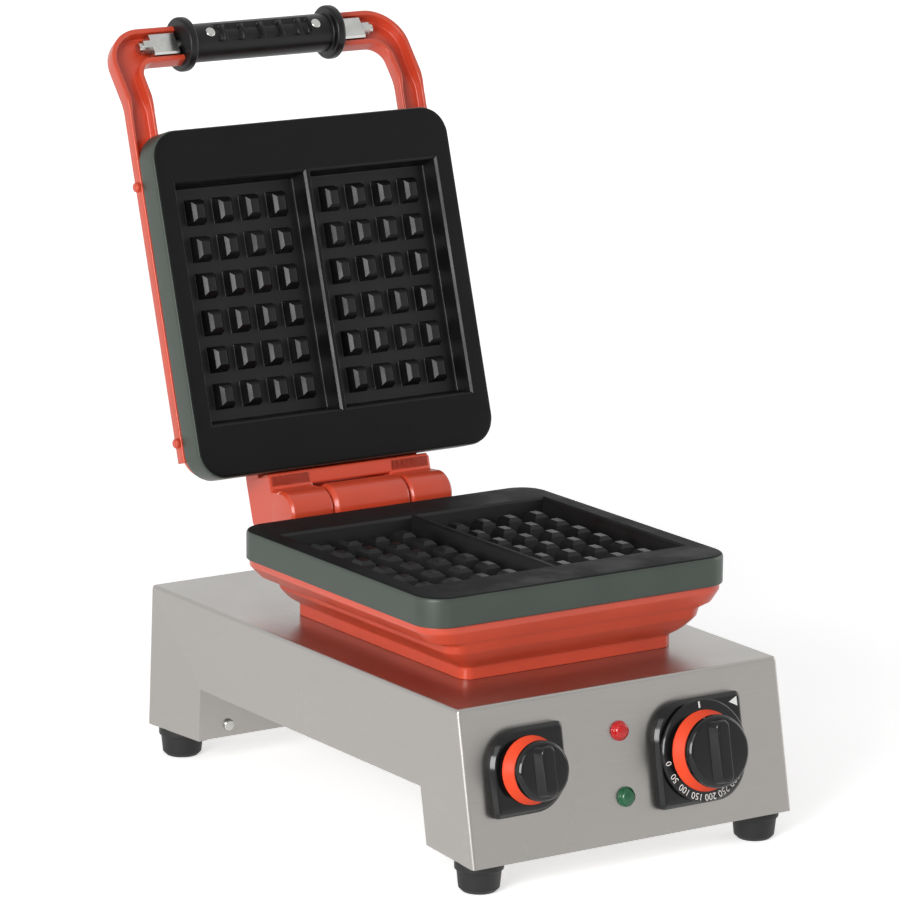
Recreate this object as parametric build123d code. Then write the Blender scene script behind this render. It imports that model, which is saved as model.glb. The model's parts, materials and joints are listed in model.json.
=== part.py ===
from build123d import *
import os
from math import atan2, cos, pi, sin, sqrt

# Waffle maker for two waffles of 4 by 6 cells, standing with its lid open
# +Z is up, the front faces -Y, and the origin is on the floor under the middle of the base
# All lengths are in millimetres and all angles in degrees

# Base housing of folded sheet
base_width = 252.0
base_depth = 408.0
base_height = 100.5
front_rake = 20.0
rear_rake = 6.0
sheet = 1.5
fold_radius = 2.5
side_tuck = 6.0
arch_height = 37.5
front_leg = 63.0
rear_leg = 60.0
arch_flange = 6.0

# Bottom pan under the housing
pan_clearance = 0.5
pan_tab_width = 30.0
pan_tab_height = 15.0
pan_screw_height = 7.0
pan_screw_radius = 2.0
pan_screw_head_radius = 4.0
pan_screw_head_height = 2.4
pan_screw_in = 24.0
vent_count = 6
vent_length = 70.0
vent_width = 5.0
vent_pitch = 16.0

# Rubber feet
foot_height = 20.0
foot_radius = 16.0
foot_waist_radius = 14.6
foot_tip_radius = 13.4
foot_collar = 5.0
foot_chamfer = 2.6
foot_inset_x = 17.0
foot_inset_y = 18.5
foot_screw_radius = 2.5
foot_head_radius = 5.0
foot_head_height = 3.5
foot_recess_depth = 8.0
foot_nut_flats = 8.0
foot_nut_height = 4.0
screw_clearance = 0.3

# Waffle plates
plate_width = 240.0
plate_length = 240.0
plate_thickness = 20.0
plate_corner = 20.0
plate_edge = 3.0
plate_y = -24.5
divider = 5.0
recess_width = 103.0
recess_length = 166.0
recess_depth = 14.0
recess_draft = 2.5
recess_corner = 4.0
pin_columns = 4
pin_rows = 6
pin_pitch_x = 21.7
pin_pitch_y = 25.4
pin_foot_x = 14.0
pin_foot_y = 17.5
pin_tip_x = 9.5
pin_tip_y = 12.5
pin_below_rim = 4.8
boss_radius = 8.0
boss_height = 8.0
boss_x = 39.0
boss_y = 54.0
plate_screw_radius = 3.0
plate_screw_head_radius = 5.0
plate_screw_head_height = 4.0
plate_thread = 11.0

# Lower casting, from its rim down to the steel
tray_height = 41.5
lip_inset = 1.5
lip_height = 4.5
slope_drop = 12.0
slope_side = 8.0
slope_front = 3.5
slope_rear = 8.0
slope_corner = 17.0
body_drop = 14.5
body_side = 19.0
body_front = 4.5
body_rear = 14.0
body_corner = 13.0
shoulder_drop = 20.5
shoulder_side = 20.5
shoulder_front = 6.0
shoulder_rear = 15.5
shoulder_corner = 12.0
neck_drop = 33.0
neck_side = 37.0
neck_front = 16.5
neck_rear = 17.0
neck_corner = 8.0
bowl_bulge = 1.6
bowl_steps = 3
neck_wall = 14.5
web_thickness = 6.0
lead_hole_radius = 13.0
cavity_width = 150.0
cavity_length = 180.0
cavity_depth = 20.0
cavity_corner = 10.0
casting_bolt_radius = 4.0
casting_bolt_head_radius = 6.5
casting_bolt_head_height = 5.3
casting_bolt_depth = 14.0
casting_bolt_y = 50.0

# Heating elements and insulation
element_radius = 4.25
element_outer_x = 58.0
element_inner_x = 20.0
element_front = 70.0
element_rear = 48.0
element_end = 80.0
element_bend = 16.0
element_gap = 0.1
pad_thickness = 9.0
pad_clearance = 2.0

# Hinge
hinge_behind = 29.0
hinge_below = 3.8
hinge_clearance = 1.0
open_angle = 107.0
barrel_radius = 16.0
knuckle_radius = 15.0
barrel_chamfer = 3.0
barrel_half = 31.0
knuckle_end = 65.5
knuckle_gap = 0.5
knuckle_edge = 2.0
bracket_rise = 42.0
bracket_back = 5.0
bracket_reach = 16.0
pin_radius = 5.0
pin_fit = 0.05
pin_end_gap = 0.3
pin_end_wall = 4.0
clip_hole_radius = 3.5
clip_thickness = 1.2
clip_inset = 2.0
bush_radius = 7.0

# Upper casting
closed_gap = 0.6
rail_height = 9.0
groove_clearance = 0.5
dome_width = 184.0
dome_length = 212.0
dome_height = 22.0
dome_slope = 21.0
dome_corner = 22.0
dome_edge = 5.0

# Handle arms of channel section, tie rod and grip
arm_width = 20.0
cross_width = 27.0
arm_wall = 2.5
arm_overhang = 0.0
arm_rear = 15.0
arm_gap = 2.0
arm_kick = 23.0
kick_ahead = 23.0
handle_reach = 81.0
outer_bend = 34.0
inner_bend = 12.0
arm_bolt_front = 34.0
arm_bolt_rear = 29.0
arm_bolt_radius = 2.5
arm_bolt_head_radius = 3.5
arm_bolt_head_height = 3.6
arm_bolt_length = 15.0
rod_radius = 3.5
rod_drop = 5.0
rod_end = 3.0
block_length = 20.0
block_height = 17.0
block_thickness = 9.0
rod_nut_flats = 9.4
rod_nut_height = 6.0
grip_half = 63.5
grip_radius = 13.5
collar_radius = 19.0
collar_length = 7.0
collar_edge = 2.5
grip_recess_half = 35.0
grip_recess_width = 14.0
grip_recess_depth = 3.5
grip_rib_count = 5
grip_rib_width = 4.0
grip_screw_x = 43.0
grip_screw_radius = 3.0
grip_screw_head_radius = 3.6
grip_screw_head_height = 2.0

# Controls on the front panel
timer_edge = 45.5
timer_z = 77.0
timer_bezel_width = 58.0
timer_bezel_height = 56.0
timer_ring_radius = 22.9
timer_body_width = 44.0
timer_body_depth = 28.0
thermostat_edge = 72.5
thermostat_z = 70.0
thermostat_bezel_width = 71.0
thermostat_bezel_height = 69.0
thermostat_ring_radius = 27.3
thermostat_body_width = 50.0
thermostat_body_depth = 30.0
dial_radius = 33.6
dial_thickness = 3.0
bezel_thickness = 8.0
bezel_big_radius = 25.0
bezel_small_radius = 4.0
bezel_chamfer = 2.5
running_gap = 0.6
ring_height = 6.5
ring_taper = 5.8
ring_width = 8.0
knob_cap_height = 10.0
knob_flare = 2.4
knob_flare_height = 4.0
knob_cap_edge = 2.0
wing_width = 16.0
wing_tip_width = 9.0
wing_height = 6.0
wing_end_gap = 1.0
wing_end_taper = 2.0
wing_corner = 4.0
shaft_radius = 3.0
shaft_fit = 0.05
shaft_inner = 18.0
shaft_seat = 5.0
control_bush_radius = 5.0
control_bush_length = 6.0
control_screw_x = 14.0
control_screw_radius = 2.0
control_screw_head_radius = 3.5
control_screw_length = 8.0

# Signal lamps
lamp_x = -4.5
red_lamp_z = 90.5
green_lamp_z = 48.5
lamp_rim_radius = 6.6
lamp_rim_height = 1.4
lamp_dome_radius = 5.6
lamp_dome_height = 4.0
lamp_body_radius = 4.8
lamp_body_length = 22.0
lamp_lens_stub = 1.0
lamp_nut_flats = 14.0
lamp_nut_height = 4.0

# Cable gland and terminal block
gland_x = 70.0
gland_z = 70.0
gland_thread_radius = 8.0
gland_flats = 22.0
gland_hex_height = 6.0
gland_inner_length = 10.0
gland_bore_radius = 4.5
gland_cap_radius = 10.0
gland_cap_height = 13.0
gland_cap_edge = 3.0
gland_cap_roof = 4.0
gland_step = 1.0
locknut_flats = 22.0
locknut_height = 4.0
terminal_x = 60.0
terminal_y = 90.0
terminal_width = 48.0
terminal_depth = 22.0
terminal_height = 20.0
terminal_ways = 4
terminal_hole_radius = 2.6

# Places worked out from the sizes above
floor_z = foot_height
steel_top = foot_height + base_height
rim_z = steel_top + tray_height
face_z = rim_z + plate_thickness
plate_front = plate_y - plate_length / 2
plate_rear = plate_y + plate_length / 2
hinge_y = plate_rear + hinge_behind
hinge_z = face_z - hinge_below
lid_face = face_z + closed_gap
lid_back = lid_face + plate_thickness
rail_top = lid_back + rail_height
dome_top = rail_top + dome_height
front_slope = front_rake / base_height
rear_slope = rear_rake / base_height
front_angle = atan2(front_rake, base_height)
rear_angle = atan2(rear_rake, base_height)
arch_z = floor_z + arch_height
timer_x = timer_edge - base_width / 2
thermostat_x = base_width / 2 - thermostat_edge
hinge_axis = Axis((0, hinge_y, hinge_z), (1, 0, 0))
arm_outer = plate_width / 2 + arm_overhang
arm_inner = arm_outer - arm_width
arm_low = lid_back + arm_gap
rail_inset = arm_wall - arm_overhang
arm_back = plate_rear - arm_rear
kick_y = plate_front - kick_ahead
kick_axis = Axis((0, kick_y, arm_low), (1, 0, 0))
handle_front = plate_front - handle_reach
grip_y = handle_front + cross_width / 2
grip_z = rail_top - rod_drop
BOTTOM = (Align.CENTER, Align.CENTER, Align.MIN)
TOP = (Align.CENTER, Align.CENTER, Align.MAX)


def front_y(z):
    """The front panel's outer face at a height."""
    return -base_depth / 2 + front_slope * (z - floor_z)


def rear_y(z):
    """The rear panel's outer face at a height."""
    return base_depth / 2 - rear_slope * (z - floor_z)


def across(points, x_low, x_high):
    """Solid with an outline of (y, z) points, extruded along X."""
    outline = Face(Wire.make_polygon([(x_low, y, z) for y, z in points]))
    return extrude(outline, x_high - x_low, dir=(1, 0, 0))


def bar(radius, start, direction, length):
    """Round bar from a start point along a direction."""
    return Plane(origin=start, z_dir=direction) * Cylinder(radius, length, align=BOTTOM)


def hexagon(flats, height):
    """Hexagonal prism standing on the XY plane."""
    return extrude(RegularPolygon(flats / 2, 6, major_radius=False), height)


def turned(points):
    """Solid of revolution about Z from (radius, z) points."""
    outline = Face(Wire.make_polygon([(r, 0, z) for r, z in points]))
    return revolve(outline, Axis.Z)


def four(x, y, z):
    """Four places, mirrored left to right and front to rear about the plate's middle."""
    return [(sx * x, plate_y + sy * y, z) for sx in (-1, 1) for sy in (-1, 1)]


def group(solids):
    """Several like pieces in one node."""
    return Compound(children=list(solids))


def opened(solid):
    """A lid piece, turned from its closed place to the open rest pose."""
    return solid.rotate(hinge_axis, -open_angle)


def front_panel(x, z):
    """Frame on the front panel's outer face, with its own z pointing out."""
    return Plane((x, front_y(z), z), x_dir=(1, 0, 0), z_dir=(0, -cos(front_angle), sin(front_angle)))


def rear_panel(x, z):
    """Frame on the rear panel's outer face, with its own z pointing out."""
    return Plane((x, rear_y(z), z), x_dir=(-1, 0, 0), z_dir=(0, cos(rear_angle), sin(rear_angle)))


# Base housing
def arch_outline(grow, low):
    """Side arch as (y, z) points, grown outwards into the sheet."""
    front_grow = grow * sqrt(1 + front_slope**2)
    rear_grow = grow * sqrt(1 + rear_slope**2)
    high = arch_z + grow

    def front(z):
        return front_y(z) + front_leg - front_grow

    def rear(z):
        return rear_y(z) - rear_leg + rear_grow

    return [(front(low), low), (front(high), high), (rear(high), high), (rear(low), low)]


def arch_band(inner, outer, x_low, x_high, low=floor_z):
    """Bent strip that follows the arch, between two offsets from its edge."""
    solid = across(arch_outline(outer, low), x_low, x_high)
    return solid - across(arch_outline(inner, low - 1), x_low, x_high)


def folded_body(wall):
    """Housing outline as a solid, drawn in by a wall: corner edges, tucked side panels and leg facets."""
    half = base_width / 2 - wall
    tucked = half - side_tuck
    top = steel_top - wall
    front_in = wall / cos(front_angle)
    rear_in = wall / cos(rear_angle)

    def front(x, z, along=0):
        return Vector(x, front_y(z) + front_in + along, z)

    def rear(x, z, along=0):
        return Vector(x, rear_y(z) - rear_in - along, z)

    def corners(side):
        """Corner edges and leg edges of one side, front pair before rear pair."""
        x, t = side * half, side * tucked
        return {
            "top": (front(x, top), rear(x, top)),
            "foot": (front(x, floor_z), rear(x, floor_z)),
            "arch": (front(t, arch_z, front_leg), rear(t, arch_z, rear_leg)),
            "leg": (front(t, floor_z, front_leg), rear(t, floor_z, rear_leg)),
        }

    left, right = corners(-1), corners(1)
    left_edge = [left["foot"][0], *left["leg"], left["foot"][1]]
    right_edge = [right["foot"][1], *right["leg"][::-1], right["foot"][0]]
    outlines = [
        [left["top"][0], right["top"][0], right["top"][1], left["top"][1]],
        [left["top"][0], right["top"][0], right["foot"][0], left["foot"][0]],
        [left["top"][1], right["top"][1], right["foot"][1], left["foot"][1]],
        left_edge + right_edge,
    ]
    for side in (left, right):
        outlines.append([side["top"][0], side["arch"][0], side["arch"][1], side["top"][1]])
        outlines.append([side["arch"][0], side["leg"][0], side["leg"][1], side["arch"][1]])
        for end in (0, 1):
            outlines.append([side["top"][end], side["foot"][end], side["leg"][end], side["arch"][end]])
    return Solid(Shell([Face(Wire.make_polygon(points)) for points in outlines]))


def control_places():
    """The two controls on the front panel, as (x, z)."""
    return [(timer_x, timer_z), (thermostat_x, thermostat_z)]


def lamp_places():
    """The two signal lamps on the front panel, as (x, z)."""
    return [(lamp_x, red_lamp_z), (lamp_x, green_lamp_z)]


def is_fold(edge):
    """Whether an edge of the housing runs along its top or down a whole corner."""
    box = edge.bounding_box()
    at_top = box.min.Z > steel_top - 0.01
    to_floor = box.min.Z < floor_z + 0.01
    return box.max.Z > steel_top - 0.01 and (at_top or to_floor)


def make_base_housing():
    outer = folded_body(0)
    body = fillet([edge for edge in outer.edges() if is_fold(edge)], fold_radius)
    body -= folded_body(sheet)
    half = base_width / 2
    tucked = half - side_tuck
    body -= across(arch_outline(0, floor_z - 1), -half, half)
    tab_zone = Pos(0, 0, floor_z) * Box(base_width, base_depth, 2 * pan_tab_height)
    for side in (-1, 1):
        edge = side * (tucked - sheet / 2)
        flange_end = side * (tucked - arch_flange)
        tab_end = side * (tucked - pan_tab_width)
        body += arch_band(0, sheet, min(edge, flange_end), max(edge, flange_end))
        tabs = arch_band(2 * sheet, 3 * sheet, min(edge, tab_end), max(edge, tab_end), floor_z + 2 * sheet)
        body += tabs & tab_zone
    for place in pan_screw_frames():
        body -= place * Cylinder(pan_screw_radius + screw_clearance, 8 * sheet)
    for x, z in control_places():
        panel = front_panel(x, z)
        body -= panel * Cylinder(control_bush_radius + screw_clearance, 4 * sheet)
        screw_hole = Cylinder(control_screw_head_radius + screw_clearance, 4 * sheet)
        for side in (-1, 1):
            body -= panel * (Pos(side * control_screw_x, 0, 0) * screw_hole)
    for x, z in lamp_places():
        body -= front_panel(x, z) * Cylinder(lamp_body_radius + screw_clearance, 4 * sheet)
    body -= rear_panel(gland_x, gland_z) * Cylinder(gland_thread_radius + screw_clearance, 4 * sheet)
    body -= Pos(0, plate_y, steel_top) * Cylinder(lead_hole_radius, 4 * sheet)
    for x, y, z in four(casting_bolt_x(), casting_bolt_y, steel_top):
        body -= Pos(x, y, z) * Cylinder(casting_bolt_radius + screw_clearance, 4 * sheet)
    return body


# Bottom pan, its screws and the feet
def pan_half():
    return base_width / 2 - side_tuck - sheet - pan_clearance


def pan_screw_frames():
    """Frames on the pan's leg walls, seen from under the arch, with z pointing into the arch."""
    z = floor_z + pan_screw_height + sheet
    x = base_width / 2 - side_tuck - pan_screw_in
    front_wall = arch_outline(sheet, z)[0][0]
    rear_wall = arch_outline(sheet, z)[3][0]
    front_out = (0, cos(front_angle), -sin(front_angle))
    rear_out = (0, -cos(rear_angle), -sin(rear_angle))
    frames = []
    for side in (-1, 1):
        frames.append(Plane((side * x, front_wall, z), x_dir=(1, 0, 0), z_dir=front_out))
        frames.append(Plane((side * x, rear_wall, z), x_dir=(1, 0, 0), z_dir=rear_out))
    return frames


def foot_places():
    x = base_width / 2 - foot_inset_x
    y = base_depth / 2 - foot_inset_y
    return {
        "front_left": (-x, -y),
        "front_right": (x, -y),
        "rear_left": (-x, y),
        "rear_right": (x, y),
    }


def make_bottom_pan():
    half = pan_half()
    pan = arch_band(sheet, 2 * sheet, -half, half)
    low, high = floor_z, floor_z + sheet
    front_end = front_y(high) + 2 * sheet
    rear_end = rear_y(high) - 2 * sheet
    front_wall = arch_outline(sheet, floor_z)[0][0]
    rear_wall = arch_outline(sheet, floor_z)[3][0]
    pan += across([(front_end, low), (front_wall, low), (front_wall, high), (front_end, high)], -half, half)
    pan += across([(rear_wall, low), (rear_end, low), (rear_end, high), (rear_wall, high)], -half, half)
    for k in range(vent_count):
        x = (k - (vent_count - 1) / 2) * vent_pitch
        slot = SlotOverall(vent_length, vent_width, rotation=90)
        pan -= extrude(Pos(x, 0, arch_z) * slot, 4 * sheet)
    for place in pan_screw_frames():
        pan -= place * Cylinder(pan_screw_radius + screw_clearance, 8 * sheet)
    for x, y in foot_places().values():
        pan -= Pos(x, y, floor_z) * Cylinder(foot_screw_radius + screw_clearance, 4 * sheet)
    return pan


def make_pan_screws():
    length = 2 * sheet + 2
    head = Cylinder(pan_screw_head_radius, pan_screw_head_height, align=BOTTOM)
    head = fillet(head.edges().group_by(Axis.Z)[-1], pan_screw_head_height / 2)
    screw = head + Cylinder(pan_screw_radius, length, align=TOP)
    return group([place * screw for place in pan_screw_frames()])


def make_foot(x, y):
    waist = foot_height - foot_collar
    profile = [
        (0, 0),
        (foot_tip_radius - foot_chamfer, 0),
        (foot_tip_radius, foot_chamfer),
        (foot_waist_radius, waist),
        (foot_radius, waist),
        (foot_radius, foot_height),
        (0, foot_height),
    ]
    foot = turned(profile)
    foot -= Cylinder(foot_head_radius + 1, foot_recess_depth, align=BOTTOM)
    foot -= Cylinder(foot_screw_radius + screw_clearance, foot_height, align=BOTTOM)
    return Pos(x, y, 0) * foot


def make_foot_screws():
    length = foot_height - foot_recess_depth + sheet + foot_nut_height + 1
    head = Pos(0, 0, foot_recess_depth) * Cylinder(foot_head_radius, foot_head_height, align=TOP)
    screw = head + Pos(0, 0, foot_recess_depth) * Cylinder(foot_screw_radius, length, align=BOTTOM)
    return group([Pos(x, y, 0) * screw for x, y in foot_places().values()])


def make_foot_nuts():
    nut = hexagon(foot_nut_flats, foot_nut_height) - Cylinder(foot_screw_radius, 2 * foot_nut_height)
    return group([Pos(x, y, floor_z + sheet) * nut for x, y in foot_places().values()])


# Waffle plates
def plate_section(inset, z):
    """Plate outline drawn in by an inset."""
    outline = RectangleRounded(plate_width - 2 * inset, plate_length - 2 * inset, plate_corner - inset)
    return Pos(0, plate_y, z) * outline


def waffle_recess():
    """One recess with its standing pins left out of the cut, mouth at z = 0."""
    def section(grow, z):
        return Pos(0, 0, z) * RectangleRounded(recess_width - grow, recess_length - grow, recess_corner)

    def pin_section(x, y, wide, long, z):
        return Pos(x, y, z) * Rectangle(wide, long)

    recess = loft([section(2 * recess_draft, -recess_depth), section(0, 0)], ruled=True)
    pins = []
    for column in range(pin_columns):
        for row in range(pin_rows):
            x = (column - (pin_columns - 1) / 2) * pin_pitch_x
            y = (row - (pin_rows - 1) / 2) * pin_pitch_y
            foot = pin_section(x, y, pin_foot_x, pin_foot_y, -recess_depth)
            tip = pin_section(x, y, pin_tip_x, pin_tip_y, -pin_below_rim)
            pins.append(loft([foot, tip], ruled=True))
    return recess - pins


def make_plate():
    """Plate lying with its cooking face up, at the lower plate's place."""
    plate = extrude(plate_section(0, rim_z), plate_thickness)
    plate = fillet(plate.edges().group_by(Axis.Z)[-1], plate_edge)
    recess = waffle_recess()
    offset_x = (divider + recess_width) / 2
    for side in (-1, 1):
        plate -= Pos(side * offset_x, plate_y, face_z) * recess
    for x, y, z in four(boss_x, boss_y, rim_z):
        plate += Pos(x, y, z) * Cylinder(boss_radius, boss_height, align=TOP)
        plate -= Pos(x, y, z - boss_height) * Cylinder(plate_screw_radius, plate_thread, align=BOTTOM)
    return plate


def to_lid(solid):
    """A piece at the lower plate, turned over to its place at the closed lid's plate."""
    over = solid.rotate(Axis((0, plate_y, face_z), (0, 1, 0)), 180)
    return Pos(0, 0, closed_gap) * over


# Heating elements and insulation
def make_element():
    z = rim_z - element_radius - element_gap
    front, rear, end = plate_y - element_front, plate_y + element_rear, plate_y + element_end
    outer, inner = element_outer_x, element_inner_x
    half = [(outer, end), (outer, front), (inner, front), (inner, rear)]
    points = [(-x, y, z) for x, y in half] + [(x, y, z) for x, y in reversed(half)]
    path = FilletPolyline(*points, radius=element_bend)
    section = Plane(origin=points[0], z_dir=(0, -1, 0)) * Circle(element_radius)
    return sweep(section, path=path)


def make_pad():
    z = rim_z - cavity_depth
    wide, long = cavity_width - 2 * pad_clearance, cavity_length - 2 * pad_clearance
    pad = extrude(Pos(0, plate_y, z) * RectangleRounded(wide, long, cavity_corner), pad_thickness)
    pad -= Pos(0, plate_y, z) * Cylinder(lead_hole_radius, 4 * pad_thickness)
    for x, y, _ in four(boss_x, boss_y, z):
        pad -= Pos(x, y, z) * Cylinder(plate_screw_radius + 1, 4 * pad_thickness)
    return pad


def cavity():
    """Room for the element and the pad, open towards the plate."""
    outline = Pos(0, plate_y, rim_z) * RectangleRounded(cavity_width, cavity_length, cavity_corner)
    return extrude(outline, -cavity_depth)


# Lower casting
def casting_bolt_x():
    return plate_width / 2 - neck_side - neck_wall / 2


def tray_section(drop, side, front, rear, corner):
    """Outline of the casting at a drop below its rim, drawn in from the plate's sides, front and rear."""
    place = Pos(0, plate_y + (front - rear) / 2, rim_z - drop)
    return place * RectangleRounded(plate_width - 2 * side, plate_length - front - rear, corner)


def tray_sections():
    """Outlines of the casting from the rim to the steel: lip, slope, body, shoulder, bowl and neck."""
    lip = (lip_inset, lip_inset, lip_inset, plate_corner)
    shoulder = (shoulder_side, shoulder_front, shoulder_rear, shoulder_corner)
    neck = (neck_side, neck_front, neck_rear, neck_corner)
    levels = [
        (0, *lip),
        (lip_height, *lip),
        (slope_drop, slope_side, slope_front, slope_rear, slope_corner),
        (body_drop, body_side, body_front, body_rear, body_corner),
        (shoulder_drop, *shoulder),
    ]
    for k in range(1, bowl_steps):
        s = k / bowl_steps
        drop = shoulder_drop + s * (neck_drop - shoulder_drop) + bowl_bulge * sin(pi * s)
        levels.append((drop, *[a + s * (b - a) for a, b in zip(shoulder, neck)]))
    levels += [(neck_drop, *neck), (tray_height, *neck)]
    return [tray_section(*level) for level in levels]


def hinge_barrel(radius, x_low, x_high):
    """Barrel about the hinge axis, with chamfered ends."""
    barrel = bar(radius, (x_low, hinge_y, hinge_z), (1, 0, 0), x_high - x_low)
    return chamfer(barrel.edges().filter_by(GeomType.CIRCLE), barrel_chamfer)


def make_lower_casting():
    sections = tray_sections()
    body = loft(sections[:2], ruled=True)
    for upper, lower in zip(sections[1:-1], sections[2:]):
        body += loft([upper, lower], ruled=True)
    root_y = plate_rear - shoulder_rear - 4
    clear_y = plate_rear + hinge_clearance
    gusset = [
        (root_y, rim_z - shoulder_drop),
        (root_y, rim_z - hinge_clearance),
        (clear_y, rim_z - hinge_clearance),
        (clear_y, hinge_z - barrel_chamfer - 3),
        (hinge_y - barrel_radius + barrel_chamfer, hinge_z),
        (hinge_y + barrel_radius - barrel_chamfer, hinge_z),
        (hinge_y + barrel_radius / 2, hinge_z - 1.6 * barrel_radius),
    ]
    body += hinge_barrel(barrel_radius, -barrel_half, barrel_half)
    body += across(gusset, barrel_chamfer - barrel_half, barrel_half - barrel_chamfer)
    body -= cavity()
    inner = [neck_side + neck_wall, neck_front + neck_wall, neck_rear + neck_wall, neck_corner / 2]
    neck = tray_section(tray_height, *inner)
    body -= extrude(neck, tray_height - cavity_depth - web_thickness)
    body -= Pos(0, plate_y, rim_z - cavity_depth) * Cylinder(lead_hole_radius, 4 * web_thickness)
    for x, y, z in four(boss_x, boss_y, rim_z - cavity_depth):
        body -= Pos(x, y, z) * Cylinder(plate_screw_radius + screw_clearance, 4 * web_thickness)
    for x, y, z in four(casting_bolt_x(), casting_bolt_y, steel_top):
        body -= Pos(x, y, z) * Cylinder(casting_bolt_radius, casting_bolt_depth + 1, align=BOTTOM)
    body -= bar(pin_radius, (-barrel_half, hinge_y, hinge_z), (1, 0, 0), 2 * barrel_half)
    return body


def make_casting_bolts():
    head = Pos(0, 0, -sheet) * Cylinder(casting_bolt_head_radius, casting_bolt_head_height, align=TOP)
    shank = Pos(0, 0, -sheet) * Cylinder(casting_bolt_radius, sheet + casting_bolt_depth, align=BOTTOM)
    bolt = head + shank
    return group([Pos(*place) * bolt for place in four(casting_bolt_x(), casting_bolt_y, steel_top)])


def make_plate_screws(seat):
    """Screws through a casting into the plate's bosses, with their heads on a seat below the rim."""
    reach = seat - boss_height + plate_thread - 1
    head = Cylinder(plate_screw_head_radius, plate_screw_head_height, align=TOP)
    screw = head + Cylinder(plate_screw_radius, reach, align=BOTTOM)
    return group([Pos(*place) * screw for place in four(boss_x, boss_y, rim_z - seat)])


# Upper casting, drawn closed
def knuckle_spans():
    """The two lid knuckles along X, one on each side of the fixed barrel."""
    start = barrel_half + knuckle_gap
    return [(-knuckle_end, -start), (start, knuckle_end)]


def make_upper_casting():
    body = extrude(plate_section(rail_inset, lid_back), rail_height)
    top_width, top_length = dome_width - 2 * dome_slope, dome_length - 2 * dome_slope
    dome_foot = Pos(0, plate_y, rail_top) * RectangleRounded(dome_width, dome_length, dome_corner)
    dome_roof = Pos(0, plate_y, dome_top) * RectangleRounded(top_width, top_length, dome_corner - dome_edge)
    dome = loft([dome_foot, dome_roof], ruled=True)
    body += fillet(dome.edges().group_by(Axis.Z)[-1], dome_edge)
    body += hinge_web()
    for x_low, x_high in knuckle_spans():
        body += knuckle(x_low, x_high)
    body -= bar(bush_radius, (bush_spans()[0][0], hinge_y, hinge_z), (1, 0, 0), barrel_half)
    body -= bar(bush_radius, (bush_spans()[1][0], hinge_y, hinge_z), (1, 0, 0), knuckle_end)
    groove_width = arm_wall + 2 * groove_clearance
    groove_long = arm_back + groove_clearance - plate_front
    groove_deep = 2 * (rail_top - arm_low + groove_clearance)
    groove = Box(groove_width, groove_long, groove_deep, align=(Align.CENTER, Align.MAX, Align.CENTER))
    for side in (-1, 1):
        body -= Pos(side * (arm_inner + arm_wall / 2), arm_back + groove_clearance, rail_top) * groove
        for y in arm_bolt_places():
            start = (side * arm_outer, y, arm_bolt_z())
            body -= bar(arm_bolt_radius, start, (-side, 0, 0), arm_bolt_length)
    body -= to_lid(cavity())
    for x, y, z in four(boss_x, boss_y, dome_top):
        body -= Pos(x, y, z) * Cylinder(plate_screw_radius + screw_clearance, 2 * (dome_top - lid_back))
    return body


def hinge_web():
    """Bridge from the cover's rear edge to the knuckles, clear of the fixed barrel all the way round."""
    clear = barrel_radius + 1.5
    low = hinge_z + 0.6 * barrel_radius
    near = plate_rear + hinge_clearance
    reach = plate_rear - bracket_reach
    top = hinge_z + bracket_rise
    outline = [
        (reach, lid_back),
        (near, lid_back),
        (near, low),
        (hinge_y - clear, low),
        (hinge_y - clear, hinge_z + clear),
        (hinge_y - barrel_radius / 2, hinge_z + 1.3 * clear),
        (hinge_y - barrel_radius / 2, top),
        (reach, top),
    ]
    return across(outline, -knuckle_end, knuckle_end)


def knuckle(x_low, x_high):
    """Lid knuckle: a barrel whose flanks run up into the web, with chamfered ends."""
    back = hinge_y + knuckle_radius
    front = hinge_y - knuckle_radius
    near = plate_rear + hinge_clearance
    low = hinge_z + 0.6 * barrel_radius
    top = hinge_z + bracket_rise
    arm = [
        (front, hinge_z),
        (back, hinge_z),
        (back, hinge_z + knuckle_radius),
        (hinge_y + bracket_back, top),
        (near, top),
        (near, low),
        (front - knuckle_edge, low),
    ]
    solid = bar(knuckle_radius, (x_low, hinge_y, hinge_z), (1, 0, 0), x_high - x_low)
    solid += across(arm, x_low, x_high)
    ends = solid.faces().sort_by(Axis.X)
    return chamfer(ends[0].edges() + ends[-1].edges(), knuckle_edge)


def bush_spans():
    """The two bushes along X: the left one in a blind bore, the right one behind the clip."""
    start = barrel_half + knuckle_gap
    return [(pin_end_wall - knuckle_end, -start), (start, knuckle_end - clip_inset - clip_thickness)]


def make_hinge_bushes():
    bushes = []
    for x_low, x_high in bush_spans():
        bush = bar(bush_radius, (x_low, hinge_y, hinge_z), (1, 0, 0), x_high - x_low)
        bore = bar(pin_radius + pin_fit, (x_low, hinge_y, hinge_z), (1, 0, 0), x_high - x_low)
        bushes.append(bush - bore)
    return group(bushes)


def make_hinge_pin():
    start = bush_spans()[0][0] + pin_end_gap
    end = bush_spans()[1][1] - pin_end_gap
    return bar(pin_radius, (start, hinge_y, hinge_z), (1, 0, 0), end - start)


def make_hinge_clip():
    """Spring ring in the right knuckle's mouth, which keeps the bush and the pin in."""
    start = (bush_spans()[1][1], hinge_y, hinge_z)
    clip = bar(bush_radius, start, (1, 0, 0), clip_thickness)
    return clip - bar(clip_hole_radius, start, (1, 0, 0), clip_thickness)


# Handle, drawn closed
def arm_bolt_places():
    return [plate_front + arm_bolt_front, plate_rear - arm_bolt_rear]


def arm_bolt_z():
    return (arm_low + rail_top) / 2


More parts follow.
